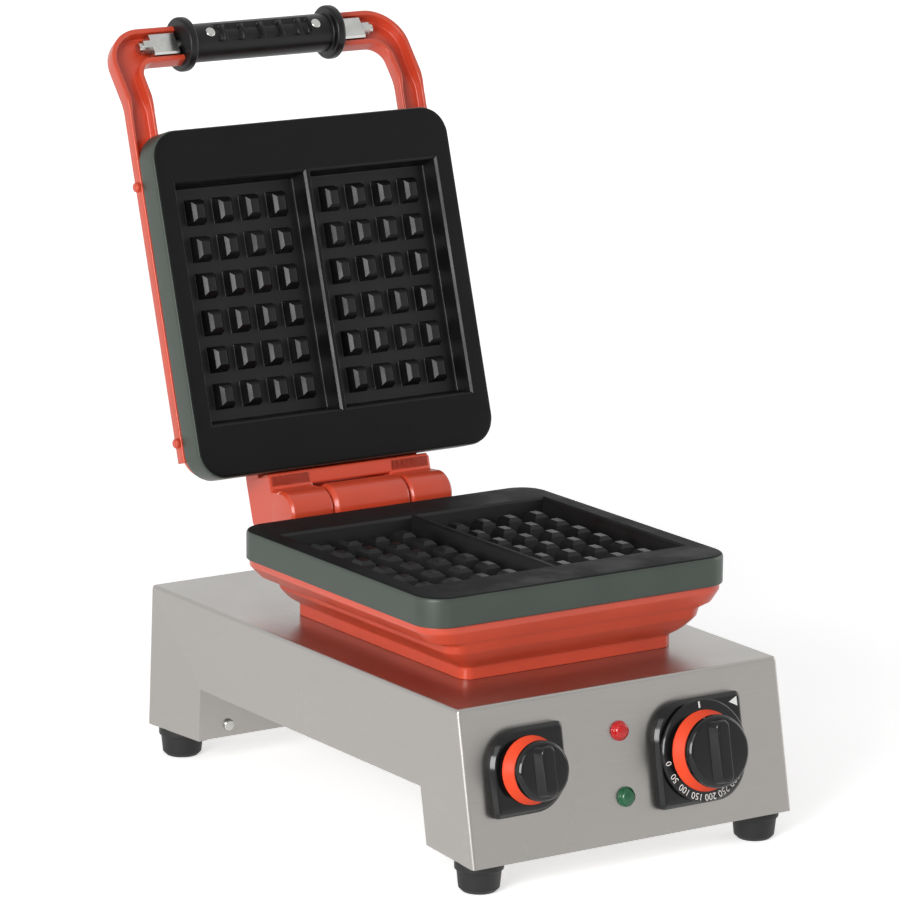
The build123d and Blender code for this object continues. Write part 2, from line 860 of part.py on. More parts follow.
def arm_plan(wall, back):
    """Plan of the right arm's front bend, drawn in by a wall, from the grip's end back along the arm."""
    outer_x, inner_x = arm_outer - wall, arm_inner + wall
    large, small = outer_bend - wall, inner_bend + wall
    front = handle_front + wall
    inner = handle_front + cross_width - wall
    end = grip_half + wall
    edges = [
        Line((end, front), (outer_x - large, front)),
        CenterArc((outer_x - large, front + large), large, -90, 90),
        Line((outer_x, front + large), (outer_x, back)),
        Line((outer_x, back), (inner_x, back)),
        Line((inner_x, back), (inner_x, inner + small)),
        CenterArc((inner_x - small, inner + small), small, 0, -90),
        Line((inner_x - small, inner), (end, inner)),
        Line((end, inner), (end, front)),
    ]
    return make_face(edges)


def kicked(solid):
    """A handle piece, bent up with the front of the arms."""
    return solid.rotate(kick_axis, -arm_kick)


def make_right_arm():
    high = rail_top + arm_wall
    middle = (arm_inner + arm_outer) / 2
    from_front = (Align.CENTER, Align.MIN, Align.MIN)
    overlap = arm_wall
    run = arm_back - kick_y
    straight = Pos(middle, kick_y, arm_low) * Box(arm_width, run, high - arm_low, align=from_front)
    room = Box(arm_width - 2 * arm_wall, run + 2 * overlap, rail_top - arm_low, align=from_front)
    hollow = Pos(middle, kick_y - overlap, arm_low) * room
    bend = extrude(Pos(0, 0, arm_low) * arm_plan(0, kick_y), high - arm_low)
    bend_hollow = extrude(Pos(0, 0, arm_low) * arm_plan(arm_wall, kick_y + overlap), rail_top - arm_low)
    arm = straight + kicked(bend) - hollow - kicked(bend_hollow)
    for y in arm_bolt_places():
        start = (arm_outer, y, arm_bolt_z())
        arm -= bar(arm_bolt_radius + screw_clearance, start, (-1, 0, 0), 2 * arm_wall)
    rod_hole = bar(rod_radius, (grip_half - arm_wall, grip_y, grip_z), (1, 0, 0), 3 * arm_wall)
    return arm - kicked(rod_hole)


def make_arm_bolts():
    bolts = []
    for side in (-1, 1):
        for y in arm_bolt_places():
            start = (side * arm_outer, y, arm_bolt_z())
            head = bar(arm_bolt_head_radius, start, (side, 0, 0), arm_bolt_head_height)
            head = fillet(head.edges().group_by(Axis.X)[-1 if side > 0 else 0], arm_bolt_head_height / 2)
            bolts.append(head + bar(arm_bolt_radius, start, (-side, 0, 0), arm_bolt_length - 1))
    return group(bolts)


def rod_half():
    return grip_half + arm_wall + block_length + rod_nut_height + rod_end


def make_handle_rod():
    return kicked(bar(rod_radius, (-rod_half(), grip_y, grip_z), (1, 0, 0), 2 * rod_half()))


def on_rod(solid, x):
    """A solid with its own Z along the rod, on both ends of the rod from a distance x outwards."""
    places = [Plane((side * x, grip_y, grip_z), x_dir=(0, 1, 0), z_dir=(side, 0, 0)) for side in (-1, 1)]
    return group([kicked(place * solid) for place in places])


def make_rod_blocks():
    """Blocks inside the arms that the rod pulls against the arms' end walls."""
    block = Box(block_height, block_thickness, block_length, align=BOTTOM)
    block = chamfer(block.edges().filter_by(Axis.Z), arm_wall / 2)
    return on_rod(block - Cylinder(rod_radius, 3 * block_length), grip_half + arm_wall)


def make_rod_nuts():
    nut = hexagon(rod_nut_flats, rod_nut_height) - Cylinder(rod_radius, 3 * rod_nut_height)
    return on_rod(nut, grip_half + arm_wall + block_length)


def make_grip():
    """Grip with its ribbed recess to the cooking side, drawn along its own Z and then laid along X."""
    body = Cylinder(grip_radius, 2 * grip_half)
    for side in (-1, 1):
        collar = Cylinder(collar_radius, collar_length)
        collar = fillet(collar.edges().filter_by(GeomType.CIRCLE), collar_edge)
        body += Pos(0, 0, side * (grip_half - collar_length / 2)) * collar
    depth_face = grip_radius - grip_recess_depth
    from_face = (Align.MIN, Align.CENTER, Align.CENTER)
    opening = Box(2 * grip_recess_depth, grip_recess_width, 2 * grip_recess_half, align=from_face)
    recess = Pos(depth_face, 0, 0) * opening
    pitch = 2 * grip_recess_half / (grip_rib_count + 1)
    for k in range(grip_rib_count):
        z = (k - (grip_rib_count - 1) / 2) * pitch
        recess -= Pos(depth_face, 0, z) * Box(6 * grip_recess_depth, 2 * grip_recess_width, grip_rib_width)
    body -= recess
    body -= Cylinder(rod_radius, 2 * grip_half)
    for side in (-1, 1):
        hole = bar(grip_screw_radius, (0, 0, side * grip_screw_x), (1, 0, 0), 2 * grip_radius)
        seat = grip_radius - grip_screw_head_height / 2
        body -= hole + bar(grip_screw_head_radius, (seat, 0, side * grip_screw_x), (1, 0, 0), grip_radius)
    return kicked(grip_frame() * body)


def grip_frame():
    """Grip's own frame: its z along X, its x towards the cooking side."""
    return Plane((0, grip_y, grip_z), x_dir=(0, 0, -1), z_dir=(1, 0, 0))


def make_grip_screws():
    seat = grip_radius - grip_screw_head_height / 2
    screws = []
    for side in (-1, 1):
        z = side * grip_screw_x
        shank = bar(grip_screw_radius, (rod_radius, 0, z), (1, 0, 0), seat - rod_radius)
        head = bar(grip_screw_head_radius, (seat, 0, z), (1, 0, 0), grip_screw_head_height)
        head = fillet(head.edges().group_by(Axis.X)[-1], grip_screw_head_height / 2)
        screws.append(kicked(grip_frame() * (shank + head)))
    return group(screws)


# Controls, each drawn on the panel's own frame
def leaf(width, height):
    """Rectangle with two large opposite corners and two tight ones."""
    outline = Rectangle(width, height)
    outline = fillet(outline.vertices().filter_by(lambda v: v.X * v.Y < 0), bezel_big_radius)

    def tight(v):
        return v.X * v.Y > 0 and abs(v.X) > 0.49 * width and abs(v.Y) > 0.49 * height

    return fillet(outline.vertices().filter_by(tight), bezel_small_radius)


def make_bezel(width, height):
    bezel = extrude(leaf(width, height), bezel_thickness)
    bezel = chamfer(bezel.edges().group_by(Axis.Z)[-1], bezel_chamfer)
    return bezel - Cylinder(control_bush_radius + screw_clearance, 4 * bezel_thickness)


def make_control_body(width, depth):
    body = Pos(0, 0, -sheet) * Box(width, width, depth, align=TOP)
    body = chamfer(body.edges().filter_by(Axis.Z), bezel_small_radius)
    body += Pos(0, 0, -sheet) * Cylinder(control_bush_radius, sheet + control_bush_length, align=BOTTOM)
    deep = shaft_inner + control_bush_length + 1
    body -= Pos(0, 0, control_bush_length) * Cylinder(shaft_radius + shaft_fit, deep, align=TOP)
    for side in (-1, 1):
        place = Pos(side * control_screw_x, 0, -sheet)
        body -= place * Cylinder(control_screw_radius, control_screw_length, align=TOP)
    return body


def make_control_screws():
    head = Cylinder(control_screw_head_radius, sheet, align=TOP)
    screw = head + Pos(0, 0, -sheet) * Cylinder(control_screw_radius, control_screw_length, align=TOP)
    screws = []
    for x, z in control_places():
        for side in (-1, 1):
            screws.append(front_panel(x, z) * (Pos(side * control_screw_x, 0, 0) * screw))
    return group(screws)


def make_ring(radius, seat):
    """Flared ring round a knob's foot."""
    inner = radius - ring_width
    top = seat + ring_height
    return turned([(inner, seat), (radius, seat), (radius - ring_taper, top), (inner, top)])


def make_knob(radius, seat):
    """Knob with a flared round cap and a tapered wing across it."""
    foot = radius - ring_width
    cap = radius - ring_taper
    cap_low = seat + ring_height
    cap_high = cap_low + knob_cap_height
    rim = cap + knob_flare
    profile = [
        (0, seat),
        (foot, seat),
        (foot, cap_low),
        (cap, cap_low),
        (rim, cap_low + knob_flare_height),
        (rim, cap_high - knob_cap_edge),
        (rim - knob_cap_edge, cap_high),
        (0, cap_high),
    ]
    knob = turned(profile)
    long = 2 * (rim - knob_cap_edge - wing_end_gap)
    low = RectangleRounded(wing_width, long, wing_corner)
    high = RectangleRounded(wing_tip_width, long - wing_end_taper, wing_corner)
    knob += Pos(0, 0, cap_high) * loft([low, Pos(0, 0, wing_height) * high], ruled=True)
    return knob - Pos(0, 0, seat) * Cylinder(shaft_radius, ring_height + shaft_seat, align=BOTTOM)


def make_shaft(seat):
    """Shaft from inside the control body to the knob's bore."""
    length = shaft_inner + seat + ring_height + shaft_seat
    return Pos(0, 0, -shaft_inner) * Cylinder(shaft_radius, length, align=BOTTOM)


def make_dial(seat):
    dial = Pos(0, 0, seat) * Cylinder(dial_radius, dial_thickness, align=BOTTOM)
    dial = chamfer(dial.edges().group_by(Axis.Z)[-1], dial_thickness / 3)
    return dial - Pos(0, 0, seat) * Cylinder(shaft_radius, 3 * dial_thickness)


# Signal lamps
def make_lamp_lens():
    rim = Cylinder(lamp_rim_radius, lamp_rim_height, align=BOTTOM)
    dome = Pos(0, 0, lamp_rim_height) * Cylinder(lamp_dome_radius, lamp_dome_height, align=BOTTOM)
    dome = fillet(dome.edges().group_by(Axis.Z)[-1], 0.8 * lamp_dome_height)
    return rim + dome + Cylinder(lamp_body_radius, lamp_lens_stub, align=TOP)


def make_lamp_body():
    return Pos(0, 0, -lamp_lens_stub) * Cylinder(lamp_body_radius, lamp_body_length, align=TOP)


def make_lamp_nuts():
    nut = hexagon(lamp_nut_flats, lamp_nut_height) - Cylinder(lamp_body_radius, 3 * lamp_nut_height)
    seated = Pos(0, 0, -sheet - lamp_nut_height) * nut
    return group([front_panel(x, z) * seated for x, z in lamp_places()])


# Cable gland and terminal block
def gland_neck():
    """Outer thread that the cap screws on to."""
    neck = Cylinder(gland_thread_radius - gland_step, gland_cap_height - gland_cap_roof, align=BOTTOM)
    return Pos(0, 0, gland_hex_height) * neck


def make_gland():
    body = hexagon(gland_flats, gland_hex_height)
    body += Cylinder(gland_thread_radius, sheet + gland_inner_length, align=TOP)
    body += gland_neck()
    bored = body - Cylinder(gland_bore_radius, 8 * gland_cap_height)
    return rear_panel(gland_x, gland_z) * bored


def make_gland_cap():
    cap = Pos(0, 0, gland_hex_height) * Cylinder(gland_cap_radius, gland_cap_height, align=BOTTOM)
    cap = fillet(cap.edges().group_by(Axis.Z)[-1], gland_cap_edge)
    cap -= Cylinder(gland_bore_radius, 8 * gland_cap_height)
    cap -= gland_neck()
    return rear_panel(gland_x, gland_z) * cap


def make_gland_locknut():
    nut = hexagon(locknut_flats, locknut_height) - Cylinder(gland_thread_radius, 4 * locknut_height)
    return rear_panel(gland_x, gland_z) * (Pos(0, 0, -sheet - locknut_height) * nut)


def make_terminal_block():
    base = arch_z + 2 * sheet
    block = Box(terminal_width, terminal_depth, terminal_height, align=BOTTOM)
    pitch = terminal_width / terminal_ways
    for k in range(terminal_ways):
        x = (k - (terminal_ways - 1) / 2) * pitch
        start = (x, -terminal_depth, terminal_height / 2)
        block -= bar(terminal_hole_radius, start, (0, 1, 0), 2 * terminal_depth)
    return Pos(terminal_x, terminal_y, base) * block


def make_parts():
    """Every node of the waffle maker at rest, by name."""
    timer, thermostat = front_panel(timer_x, timer_z), front_panel(thermostat_x, thermostat_z)
    knob_seat = bezel_thickness + running_gap
    dial_top = knob_seat + dial_thickness
    plate, element, pad = make_plate(), make_element(), make_pad()
    lower_seat = cavity_depth + web_thickness
    upper_seat = rail_height + dome_height
    right_arm = make_right_arm()
    parts = {
        "base_housing": make_base_housing(),
        "bottom_pan": make_bottom_pan(),
        "pan_screws": make_pan_screws(),
        "foot_screws": make_foot_screws(),
        "foot_nuts": make_foot_nuts(),
        "lower_casting": make_lower_casting(),
        "casting_bolts": make_casting_bolts(),
        "lower_plate": plate,
        "lower_plate_screws": make_plate_screws(lower_seat),
        "lower_element": element,
        "lower_insulation": pad,
        "hinge_pin": make_hinge_pin(),
        "timer_bezel": timer * make_bezel(timer_bezel_width, timer_bezel_height),
        "timer_body": timer * make_control_body(timer_body_width, timer_body_depth),
        "timer_knob": timer * make_knob(timer_ring_radius, knob_seat),
        "timer_ring": timer * make_ring(timer_ring_radius, knob_seat),
        "timer_shaft": timer * make_shaft(knob_seat),
        "thermostat_bezel": thermostat * make_bezel(thermostat_bezel_width, thermostat_bezel_height),
        "thermostat_body": thermostat * make_control_body(thermostat_body_width, thermostat_body_depth),
        "thermostat_knob": thermostat * make_knob(thermostat_ring_radius, dial_top),
        "thermostat_ring": thermostat * make_ring(thermostat_ring_radius, dial_top),
        "thermostat_dial": thermostat * make_dial(knob_seat),
        "thermostat_shaft": thermostat * make_shaft(dial_top),
        "control_screws": make_control_screws(),
        "red_lamp_lens": front_panel(lamp_x, red_lamp_z) * make_lamp_lens(),
        "red_lamp_body": front_panel(lamp_x, red_lamp_z) * make_lamp_body(),
        "green_lamp_lens": front_panel(lamp_x, green_lamp_z) * make_lamp_lens(),
        "green_lamp_body": front_panel(lamp_x, green_lamp_z) * make_lamp_body(),
        "lamp_nuts": make_lamp_nuts(),
        "cable_gland": make_gland(),
        "gland_cap": make_gland_cap(),
        "gland_locknut": make_gland_locknut(),
        "terminal_block": make_terminal_block(),
        "upper_casting": opened(make_upper_casting()),
        "upper_plate": opened(to_lid(plate)),
        "upper_plate_screws": opened(to_lid(make_plate_screws(upper_seat))),
        "upper_element": opened(to_lid(element)),
        "upper_insulation": opened(to_lid(pad)),
        "hinge_bushes": opened(make_hinge_bushes()),
        "hinge_clip": opened(make_hinge_clip()),
        "handle_arm_right": opened(right_arm),
        "handle_arm_left": opened(mirror(right_arm, Plane.YZ)),
        "arm_bolts": opened(make_arm_bolts()),
        "handle_rod": opened(make_handle_rod()),
        "rod_blocks": opened(make_rod_blocks()),
        "rod_nuts": opened(make_rod_nuts()),
        "grip": opened(make_grip()),
        "grip_screws": opened(make_grip_screws()),
    }
    for name, (x, y) in foot_places().items():
        parts["foot_" + name] = make_foot(x, y)
    return parts


os.makedirs("parts", exist_ok=True)
for node, shape in make_parts().items():
    export_step(shape, f"parts/{node}.step")
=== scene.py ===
import json
import math

import bmesh
import bpy
import numpy as np
from bpy.props import FloatProperty, FloatVectorProperty, IntProperty, PointerProperty
from mathutils import Matrix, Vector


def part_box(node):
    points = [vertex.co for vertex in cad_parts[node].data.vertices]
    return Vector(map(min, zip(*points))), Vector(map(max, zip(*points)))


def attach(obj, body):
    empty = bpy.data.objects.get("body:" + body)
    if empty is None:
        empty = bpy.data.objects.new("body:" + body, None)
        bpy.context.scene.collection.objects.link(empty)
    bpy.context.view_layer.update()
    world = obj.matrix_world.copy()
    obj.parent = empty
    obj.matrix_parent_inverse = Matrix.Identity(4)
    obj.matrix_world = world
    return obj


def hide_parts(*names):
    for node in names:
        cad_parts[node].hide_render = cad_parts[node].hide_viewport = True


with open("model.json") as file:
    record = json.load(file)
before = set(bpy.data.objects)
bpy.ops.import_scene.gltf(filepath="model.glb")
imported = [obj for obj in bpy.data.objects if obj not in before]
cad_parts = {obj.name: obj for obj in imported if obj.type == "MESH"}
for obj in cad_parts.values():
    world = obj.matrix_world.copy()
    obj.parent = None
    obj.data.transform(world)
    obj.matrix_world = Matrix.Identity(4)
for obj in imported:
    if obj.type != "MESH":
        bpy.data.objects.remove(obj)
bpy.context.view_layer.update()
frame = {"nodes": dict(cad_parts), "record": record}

bl_info = {
    "name": "Waffle Maker Dresser",
    "version": (1, 0, 0),
    "blender": (4, 5, 0),
    "location": "View3D > Sidebar > Waffle Maker",
    "description": "Dresses the waffle maker's solids with castings, plates, controls and finishes",
    "category": "Object",
}

MM = 0.001

# Base and front panel, in millimetres
FOOT_HEIGHT = 20.0
BASE_DEPTH = 408.0
BASE_HEIGHT = 100.5
FRONT_RAKE = 20.0
STEEL_TOP = FOOT_HEIGHT + BASE_HEIGHT

# Plates and tray
PLATE_HALF = 120.0
PLATE_CORNER = 20.0
PLATE_Y = -24.5
PLATE_THICK = 20.0
RIM_Z = STEEL_TOP + 41.5
FACE_Z = RIM_Z + PLATE_THICK
RECESS_HALF_X = 51.5
RECESS_HALF_Y = 83.0
RECESS_DEPTH = 14.0
RECESS_DRAFT = 2.5
RECESS_X = 54.0
PIN_FOOT = (7.0, 8.75)
PIN_TIP = (4.75, 6.25)
PIN_HEIGHT = 9.2
PIN_X = (np.arange(4) - 1.5) * 21.7
PIN_Y = (np.arange(6) - 2.5) * 25.4

# Edge of a plate: widths and eases of its face and back, steps of an ease, and rows that count as face
RIM_WIDTH = 11.0
RIM_EASE = 3.2
BACK_EASE = 0.8
BACK_WIDTH = 1.5
RIM_STEPS = 6
RIM_ROWS_ON_FACE = 4

# Levels of the tray: drop below its rim, insets of its sides, front and rear, and corner radius
TRAY_TOP = [(0.2, 6.0, 6.0, 6.0, 15.5), (0.2, 1.5, 1.5, 1.5, 20.0), (4.5, 1.5, 1.5, 1.5, 20.0),
            (12.0, 8.0, 3.5, 8.0, 17.0), (14.5, 19.0, 4.5, 14.0, 13.0)]
TRAY_SHOULDER = np.array([20.5, 20.5, 6.0, 15.5, 12.0])
TRAY_NECK = np.array([33.0, 37.0, 16.5, 17.0, 8.0])
TRAY_FOOT = [(41.4, 37.0, 16.5, 17.0, 8.0), (41.4, 44.0, 23.5, 24.0, 4.0)]
BOWL_SAG = 1.6

# Hinge and lid, drawn closed
HINGE_Y = PLATE_Y + PLATE_HALF + 29.0
HINGE_Z = FACE_Z - 3.8
OPEN = math.radians(107.0)
LID_GAP = 0.6
LID_BACK = FACE_Z + LID_GAP + PLATE_THICK
RAIL_TOP = LID_BACK + 9.0
BARREL = 31.0
KNUCKLE = 65.5
KNUCKLE_GAP = 0.5
PIN_MOUTH = 7.05
MOUTH_DEPTH = 4.5
BRACKET_TOP = HINGE_Z + 42.0
DOME_TOP = RAIL_TOP + 22.0
PLATE_REAR = PLATE_Y + PLATE_HALF

# Handle
ARM_OUTER = 120.0
ARM_INNER = 100.0
ARM_WALL = 2.5
ARM_LOW = LID_BACK + 2.0
ARM_BACK = PLATE_REAR - 15.0
HANDLE_FRONT = PLATE_Y - PLATE_HALF - 81.0
CROSS_WIDTH = 27.0
OUTER_BEND = 28.0
INNER_BEND = 12.0
KICK = math.radians(23.0)
KICK_Y = PLATE_Y - PLATE_HALF - 23.0
KICK_BEND = 7.0

# Ahead of the kick the arm's flanges grow thicker and deeper, over a run
FLANGE_THICKER = 1.3
FLANGE_DEEPER = 1.5
FLANGE_RUN = 12.0

# Grip, with a ribbed hollow along one side: sizes, and the lengths over which its edges slope
GRIP_HALF = 63.5
GRIP_Y = HANDLE_FRONT + CROSS_WIDTH / 2
GRIP_Z = RAIL_TOP - 5.0
GRIP_BORE = 3.6
GRIP_SEGMENTS = 144
GRIP_MIDDLE = np.linspace(-50, 50, 161)
COLLAR_SIDE = 56.5
COLLAR_FOOT = 52.0
HOLLOW_LENGTH = 77.5
HOLLOW_DEPTH = 3.0
HOLLOW_TURN = math.radians(32)
HOLLOW_SLOPE = 1.5
HOLLOW_TURN_SLOPE = 0.09
RIB_HALF = 2.4
RIB_SLOPE = 1.2
RIB_SHARE = 0.85

# Controls: place on the panel, bezel width and height, ring radius, and how far out the ring sits
TIMER = {"x": -80.5, "z": 77.0, "wide": 58.0, "high": 56.0, "ring": 22.9, "seat": 8.6}
THERMOSTAT = {"x": 53.5, "z": 70.0, "wide": 71.0, "high": 69.0, "ring": 27.3, "seat": 11.6}
LAMPS = {"red": (-4.5, 90.5), "green": (-4.5, 48.5)}

# Bezels, rings and knobs: heights, bezel corners, and how far ring and knob draw in from the ring's radius
BEZEL_HEIGHT = 8.0
BEZEL_LARGE_CORNER = 25.0
BEZEL_SMALL_CORNER = 4.0
RING_WIDTH = 8.0
RING_FLARE = 5.8
RING_HEIGHT = 6.5
KNOB_HEIGHT = 10.0
KNOB_IN = 3.4
WING_HEIGHT = 6.0

# Dial: its numbers start at an angle in degrees and follow one another by a step
DIAL_SEAT = 8.6
DIAL_THICK = 3.0
DIAL_RADIUS = 33.6
DIAL_NUMBERS = ("0", "50", "100", "150", "200", "250", "300")
FIRST_NUMBER = 188.0
NUMBER_STEP = 20.7
NUMBER_IN = 3.6
ZERO_MARK = 93.0
ZERO_MARK_IN = 3.4
MARK_LIFT = 0.06

# Camera: the point it looks from is shifted to the right, up and back from a target
CAMERA_TARGET = np.array([0, 10.41, 164.0])
CAMERA_SHIFT = (-2.52, 70.87, 3475.0)
SENSOR_WIDTH = 36.0
CAMERA_REACH = 100.0

# Studio, in metres: each lamp's place, target and width, and the floor
STUDIO_LAMPS = {
    "key": ((-1.5, -1.6, 2.0), (0, 0, 0.2), 1.2),
    "side": ((-2.9, -1.75, 1.2), (0, 0, 0.25), 1.5),
    "fill": ((2.1, -0.6, 0.7), (0, 0, 0.3), 1.0),
}
FLOOR_REACH = 30.0
FLOOR_NEAR = 0.5
FLOOR_FAR = 3.0
WHITE = (1.0, 1.0, 1.0, 1.0)


def srgb(red, green, blue):
    """Scene colour of a screen colour given in 0 to 255."""
    share = np.array([red, green, blue]) / 255.0
    linear = np.where(share <= 0.04045, share / 12.92, ((share + 0.055) / 1.055) ** 2.4)
    return tuple(float(v) for v in linear)


class WaffleFinishes(bpy.types.PropertyGroup):
    """Colours of the waffle maker's finishes."""

    enamel: FloatVectorProperty(
        name="Enamel", description="Red enamel of the castings and arms", subtype="COLOR",
        min=0.0, max=1.0, default=srgb(209, 73, 45))
    steel: FloatVectorProperty(
        name="Steel", description="Brushed steel of the base", subtype="COLOR",
        min=0.0, max=1.0, default=srgb(170, 167, 163))
    iron: FloatVectorProperty(
        name="Cooking face", description="Seasoned black of the cooking faces", subtype="COLOR",
        min=0.0, max=1.0, default=srgb(16, 16, 17))
    band: FloatVectorProperty(
        name="Plate edge", description="Grey of the plates' outer edge", subtype="COLOR",
        min=0.0, max=1.0, default=srgb(66, 74, 67))
    plastic: FloatVectorProperty(
        name="Black plastic", description="Bezels, knobs and dial", subtype="COLOR",
        min=0.0, max=1.0, default=srgb(14, 14, 15))
    orange: FloatVectorProperty(
        name="Knob ring", description="Rings round the knobs", subtype="COLOR",
        min=0.0, max=1.0, default=srgb(244, 82, 50))
    rubber: FloatVectorProperty(
        name="Rubber", description="Feet", subtype="COLOR",
        min=0.0, max=1.0, default=srgb(20, 20, 20))


class WaffleShapes(bpy.types.PropertyGroup):
    """Sizes that shape the new pieces."""

    pin_bevel: FloatProperty(
        name="Pin bevel", description="Width of the bevel round the tips of the pins",
        default=0.0024, unit="LENGTH")
    edge_bevel: FloatProperty(
        name="Recess bevel", description="Width of the bevel round the recesses",
        default=0.0013, unit="LENGTH")
    barrel_radius: FloatProperty(
        name="Barrel radius", description="Radius of the fixed hinge barrel", default=0.016, unit="LENGTH")
    knuckle_radius: FloatProperty(
        name="Knuckle radius", description="Radius of the lid's knuckles", default=0.015, unit="LENGTH")
    grip_radius: FloatProperty(
        name="Grip radius", description="Radius of the grip between its collars",
        default=0.0135, unit="LENGTH")
    collar_radius: FloatProperty(
        name="Collar radius", description="Radius of the grip's end collars", default=0.019, unit="LENGTH")
    rib_count: IntProperty(
        name="Grip ribs", description="Ribs across the recess of the grip", default=5, min=1, max=12)
    number_size: FloatProperty(
        name="Number size", description="Height of the numbers on the dial", default=0.0062, unit="LENGTH")


class WaffleStage(bpy.types.PropertyGroup):
    """Camera, lights and floor."""

    lens: FloatProperty(
        name="Lens", description="Focal length of the camera in millimetres", default=206.9, unit="CAMERA")
    azimuth: FloatProperty(
        name="Azimuth", description="Angle of the camera round the object",
        default=math.radians(-33.55), subtype="ANGLE")
    elevation: FloatProperty(
        name="Elevation", description="Angle of the camera above the floor",
        default=math.radians(12.66), subtype="ANGLE")
    roll: FloatProperty(
        name="Roll", description="Tilt of the camera about its view",
        default=math.radians(0.42), subtype="ANGLE")
    sky: FloatProperty(
        name="Sky", description="Strength of the white surround as a light", default=0.35, min=0.0)
    room: FloatProperty(
        name="Room", description="Brightness of the surround on the camera's side, which is in shade",
        default=0.6, min=0.0, max=1.0, subtype="FACTOR")
    key: FloatProperty(
        name="Key light", description="Power of the high lamp in front", default=10.0, unit="POWER")
    side: FloatProperty(
        name="Side light", description="Power of the large lamp on the left", default=92.0, unit="POWER")
    fill: FloatProperty(
        name="Fill light", description="Power of the lamp on the right", default=9.0, unit="POWER")
    floor: FloatVectorProperty(
        name="Floor", description="Colour of the floor", subtype="COLOR",
        min=0.0, max=1.0, default=(0.9, 0.9, 0.9))
    floor_lift: FloatProperty(
        name="Floor lift", default=0.56, min=0.0,
        description="White added to the floor as it is seen, so that only its shadows show")
    far_lift: FloatProperty(
        name="Far lift", description="White added to the floor far from the lamps", default=0.9, min=0.0)


# Surfaces: every function returns points in millimetres and a list of faces
def quads(rows, columns, wrap=True):
    """Corner numbers of the quads of a grid of rows by columns, closed along its columns if wrapped."""
    row = np.arange(rows - 1)[:, None]
    column = np.arange(columns if wrap else columns - 1)[None, :]
    after = (column + 1) % columns
    corners = [row * columns + column, row * columns + after,
               (row + 1) * columns + after, (row + 1) * columns + column]
    return np.stack(corners, -1).reshape(-1, 4).tolist()


def loft(rings, start_cap=True, end_cap=True):
    """Closed rings of equal point count, joined one to the next and capped with flat faces."""
    rings = np.asarray(rings, float)
    rows, columns = rings.shape[:2]
    faces = quads(rows, columns)
    if start_cap:
        faces.append(list(range(columns))[::-1])
    if end_cap:
        faces.append(list(range((rows - 1) * columns, rows * columns)))
    return rings.reshape(-1, 3), faces


def merged(*surfaces):
    """Several surfaces as one list of points and faces."""
    points, faces, first = [], [], 0
    for part_points, part_faces in surfaces:
        points.append(part_points)
        faces += [[first + corner for corner in face] for face in part_faces]
        first += len(part_points)
    return np.concatenate(points), faces


def rounded(corners, radius, steps=4, closed=False):
    """Polyline whose corners are eased: each becomes a parabola between its two tangent points.

    A tangent point lies at the radius over the tangent of half the corner's angle, at most 0.48 of a leg.
    """
    corners = np.asarray(corners, float)
    radius = np.broadcast_to(np.asarray(radius, float), len(corners))
    inner = range(len(corners)) if closed else range(1, len(corners) - 1)
    share = np.linspace(0, 1, steps + 1)[:, None]
    pieces = [] if closed else [corners[:1]]
    for k in inner:
        here, before, after = corners[k], corners[k - 1], corners[(k + 1) % len(corners)]
        to_before, to_after = before - here, after - here
        leg_before, leg_after = np.linalg.norm(to_before), np.linalg.norm(to_after)
        cosine = np.dot(to_before, to_after) / (leg_before * leg_after)
        half = math.acos(np.clip(cosine, -1, 1)) / 2
        reach = min(radius[k] / max(math.tan(half), 1e-6), 0.48 * leg_before, 0.48 * leg_after)
        start, end = here + to_before / leg_before * reach, here + to_after / leg_after * reach
        pieces.append((1 - share) ** 2 * start + 2 * share * (1 - share) * here + share**2 * end)
    if not closed:
        pieces.append(corners[-1:])
    return np.concatenate(pieces)


def corner_outline(half_x, half_y, radii, steps=8):
    """Rectangle outline with an arc at each corner, of one radius or four, from the right rear one round."""
    turn = np.linspace(0, math.pi / 2, steps + 1)
    signs = ((1, 1), (-1, 1), (-1, -1), (1, -1))
    arcs = []
    for k, ((sx, sy), radius) in enumerate(zip(signs, np.broadcast_to(radii, 4))):
        angle = turn + k * math.pi / 2
        arcs.append(np.stack([sx * (half_x - radius) + radius * np.cos(angle),
                              sy * (half_y - radius) + radius * np.sin(angle)], -1))
    return np.concatenate(arcs)


def stacked(outline, x, y, z):
    """One ring: a flat outline moved to x, y and lifted to z."""
    return np.column_stack([outline[:, 0] + x, outline[:, 1] + y, np.full(len(outline), z)])


def tray_ring(drop, side, front, rear, corner):
    """Ring of the tray's outline at a drop below its rim, drawn in from the plate's sides, front and rear."""
    outline = corner_outline(PLATE_HALF - side, PLATE_HALF - (front + rear) / 2, corner, 10)
    return stacked(outline, 0, PLATE_Y + (front - rear) / 2, RIM_Z - drop)


def lathe(profile, segments=64):
    """Surface of revolution about Z: the point at angle a is (r cos a, r sin a, z) for each (r, z).

    The profile starts and ends on the axis, or ends where it starts.
    """
    profile = np.asarray(profile, float)
    angle = np.arange(segments) / segments * 2 * math.pi
    radius, height = profile[:, :1], profile[:, 1:]
    rings = np.stack([radius * np.cos(angle), radius * np.sin(angle), height + 0 * angle], -1)
    return loft(rings, start_cap=False, end_cap=False)


def along_x(surface, y, z):
    """A surface drawn about Z, laid with its axis along X through (y, z)."""
    points, faces = surface
    return np.column_stack([points[:, 2], points[:, 0] + y, points[:, 1] + z]), faces


def extruded(outline, x_low, x_high, bevel):
    """Outline of (y, z) points carried along X, with its ends drawn in towards its middle by a bevel."""
    middle = outline.mean(0)
    away = outline - middle
    shrunk = middle + away * (1 - bevel / np.linalg.norm(away, axis=1, keepdims=True))
    rows = [(x_low, shrunk), (x_low + bevel, outline), (x_high - bevel, outline), (x_high, shrunk)]
    rings = [np.column_stack([np.full(len(shape), x), shape]) for x, shape in rows]
    return loft(rings)


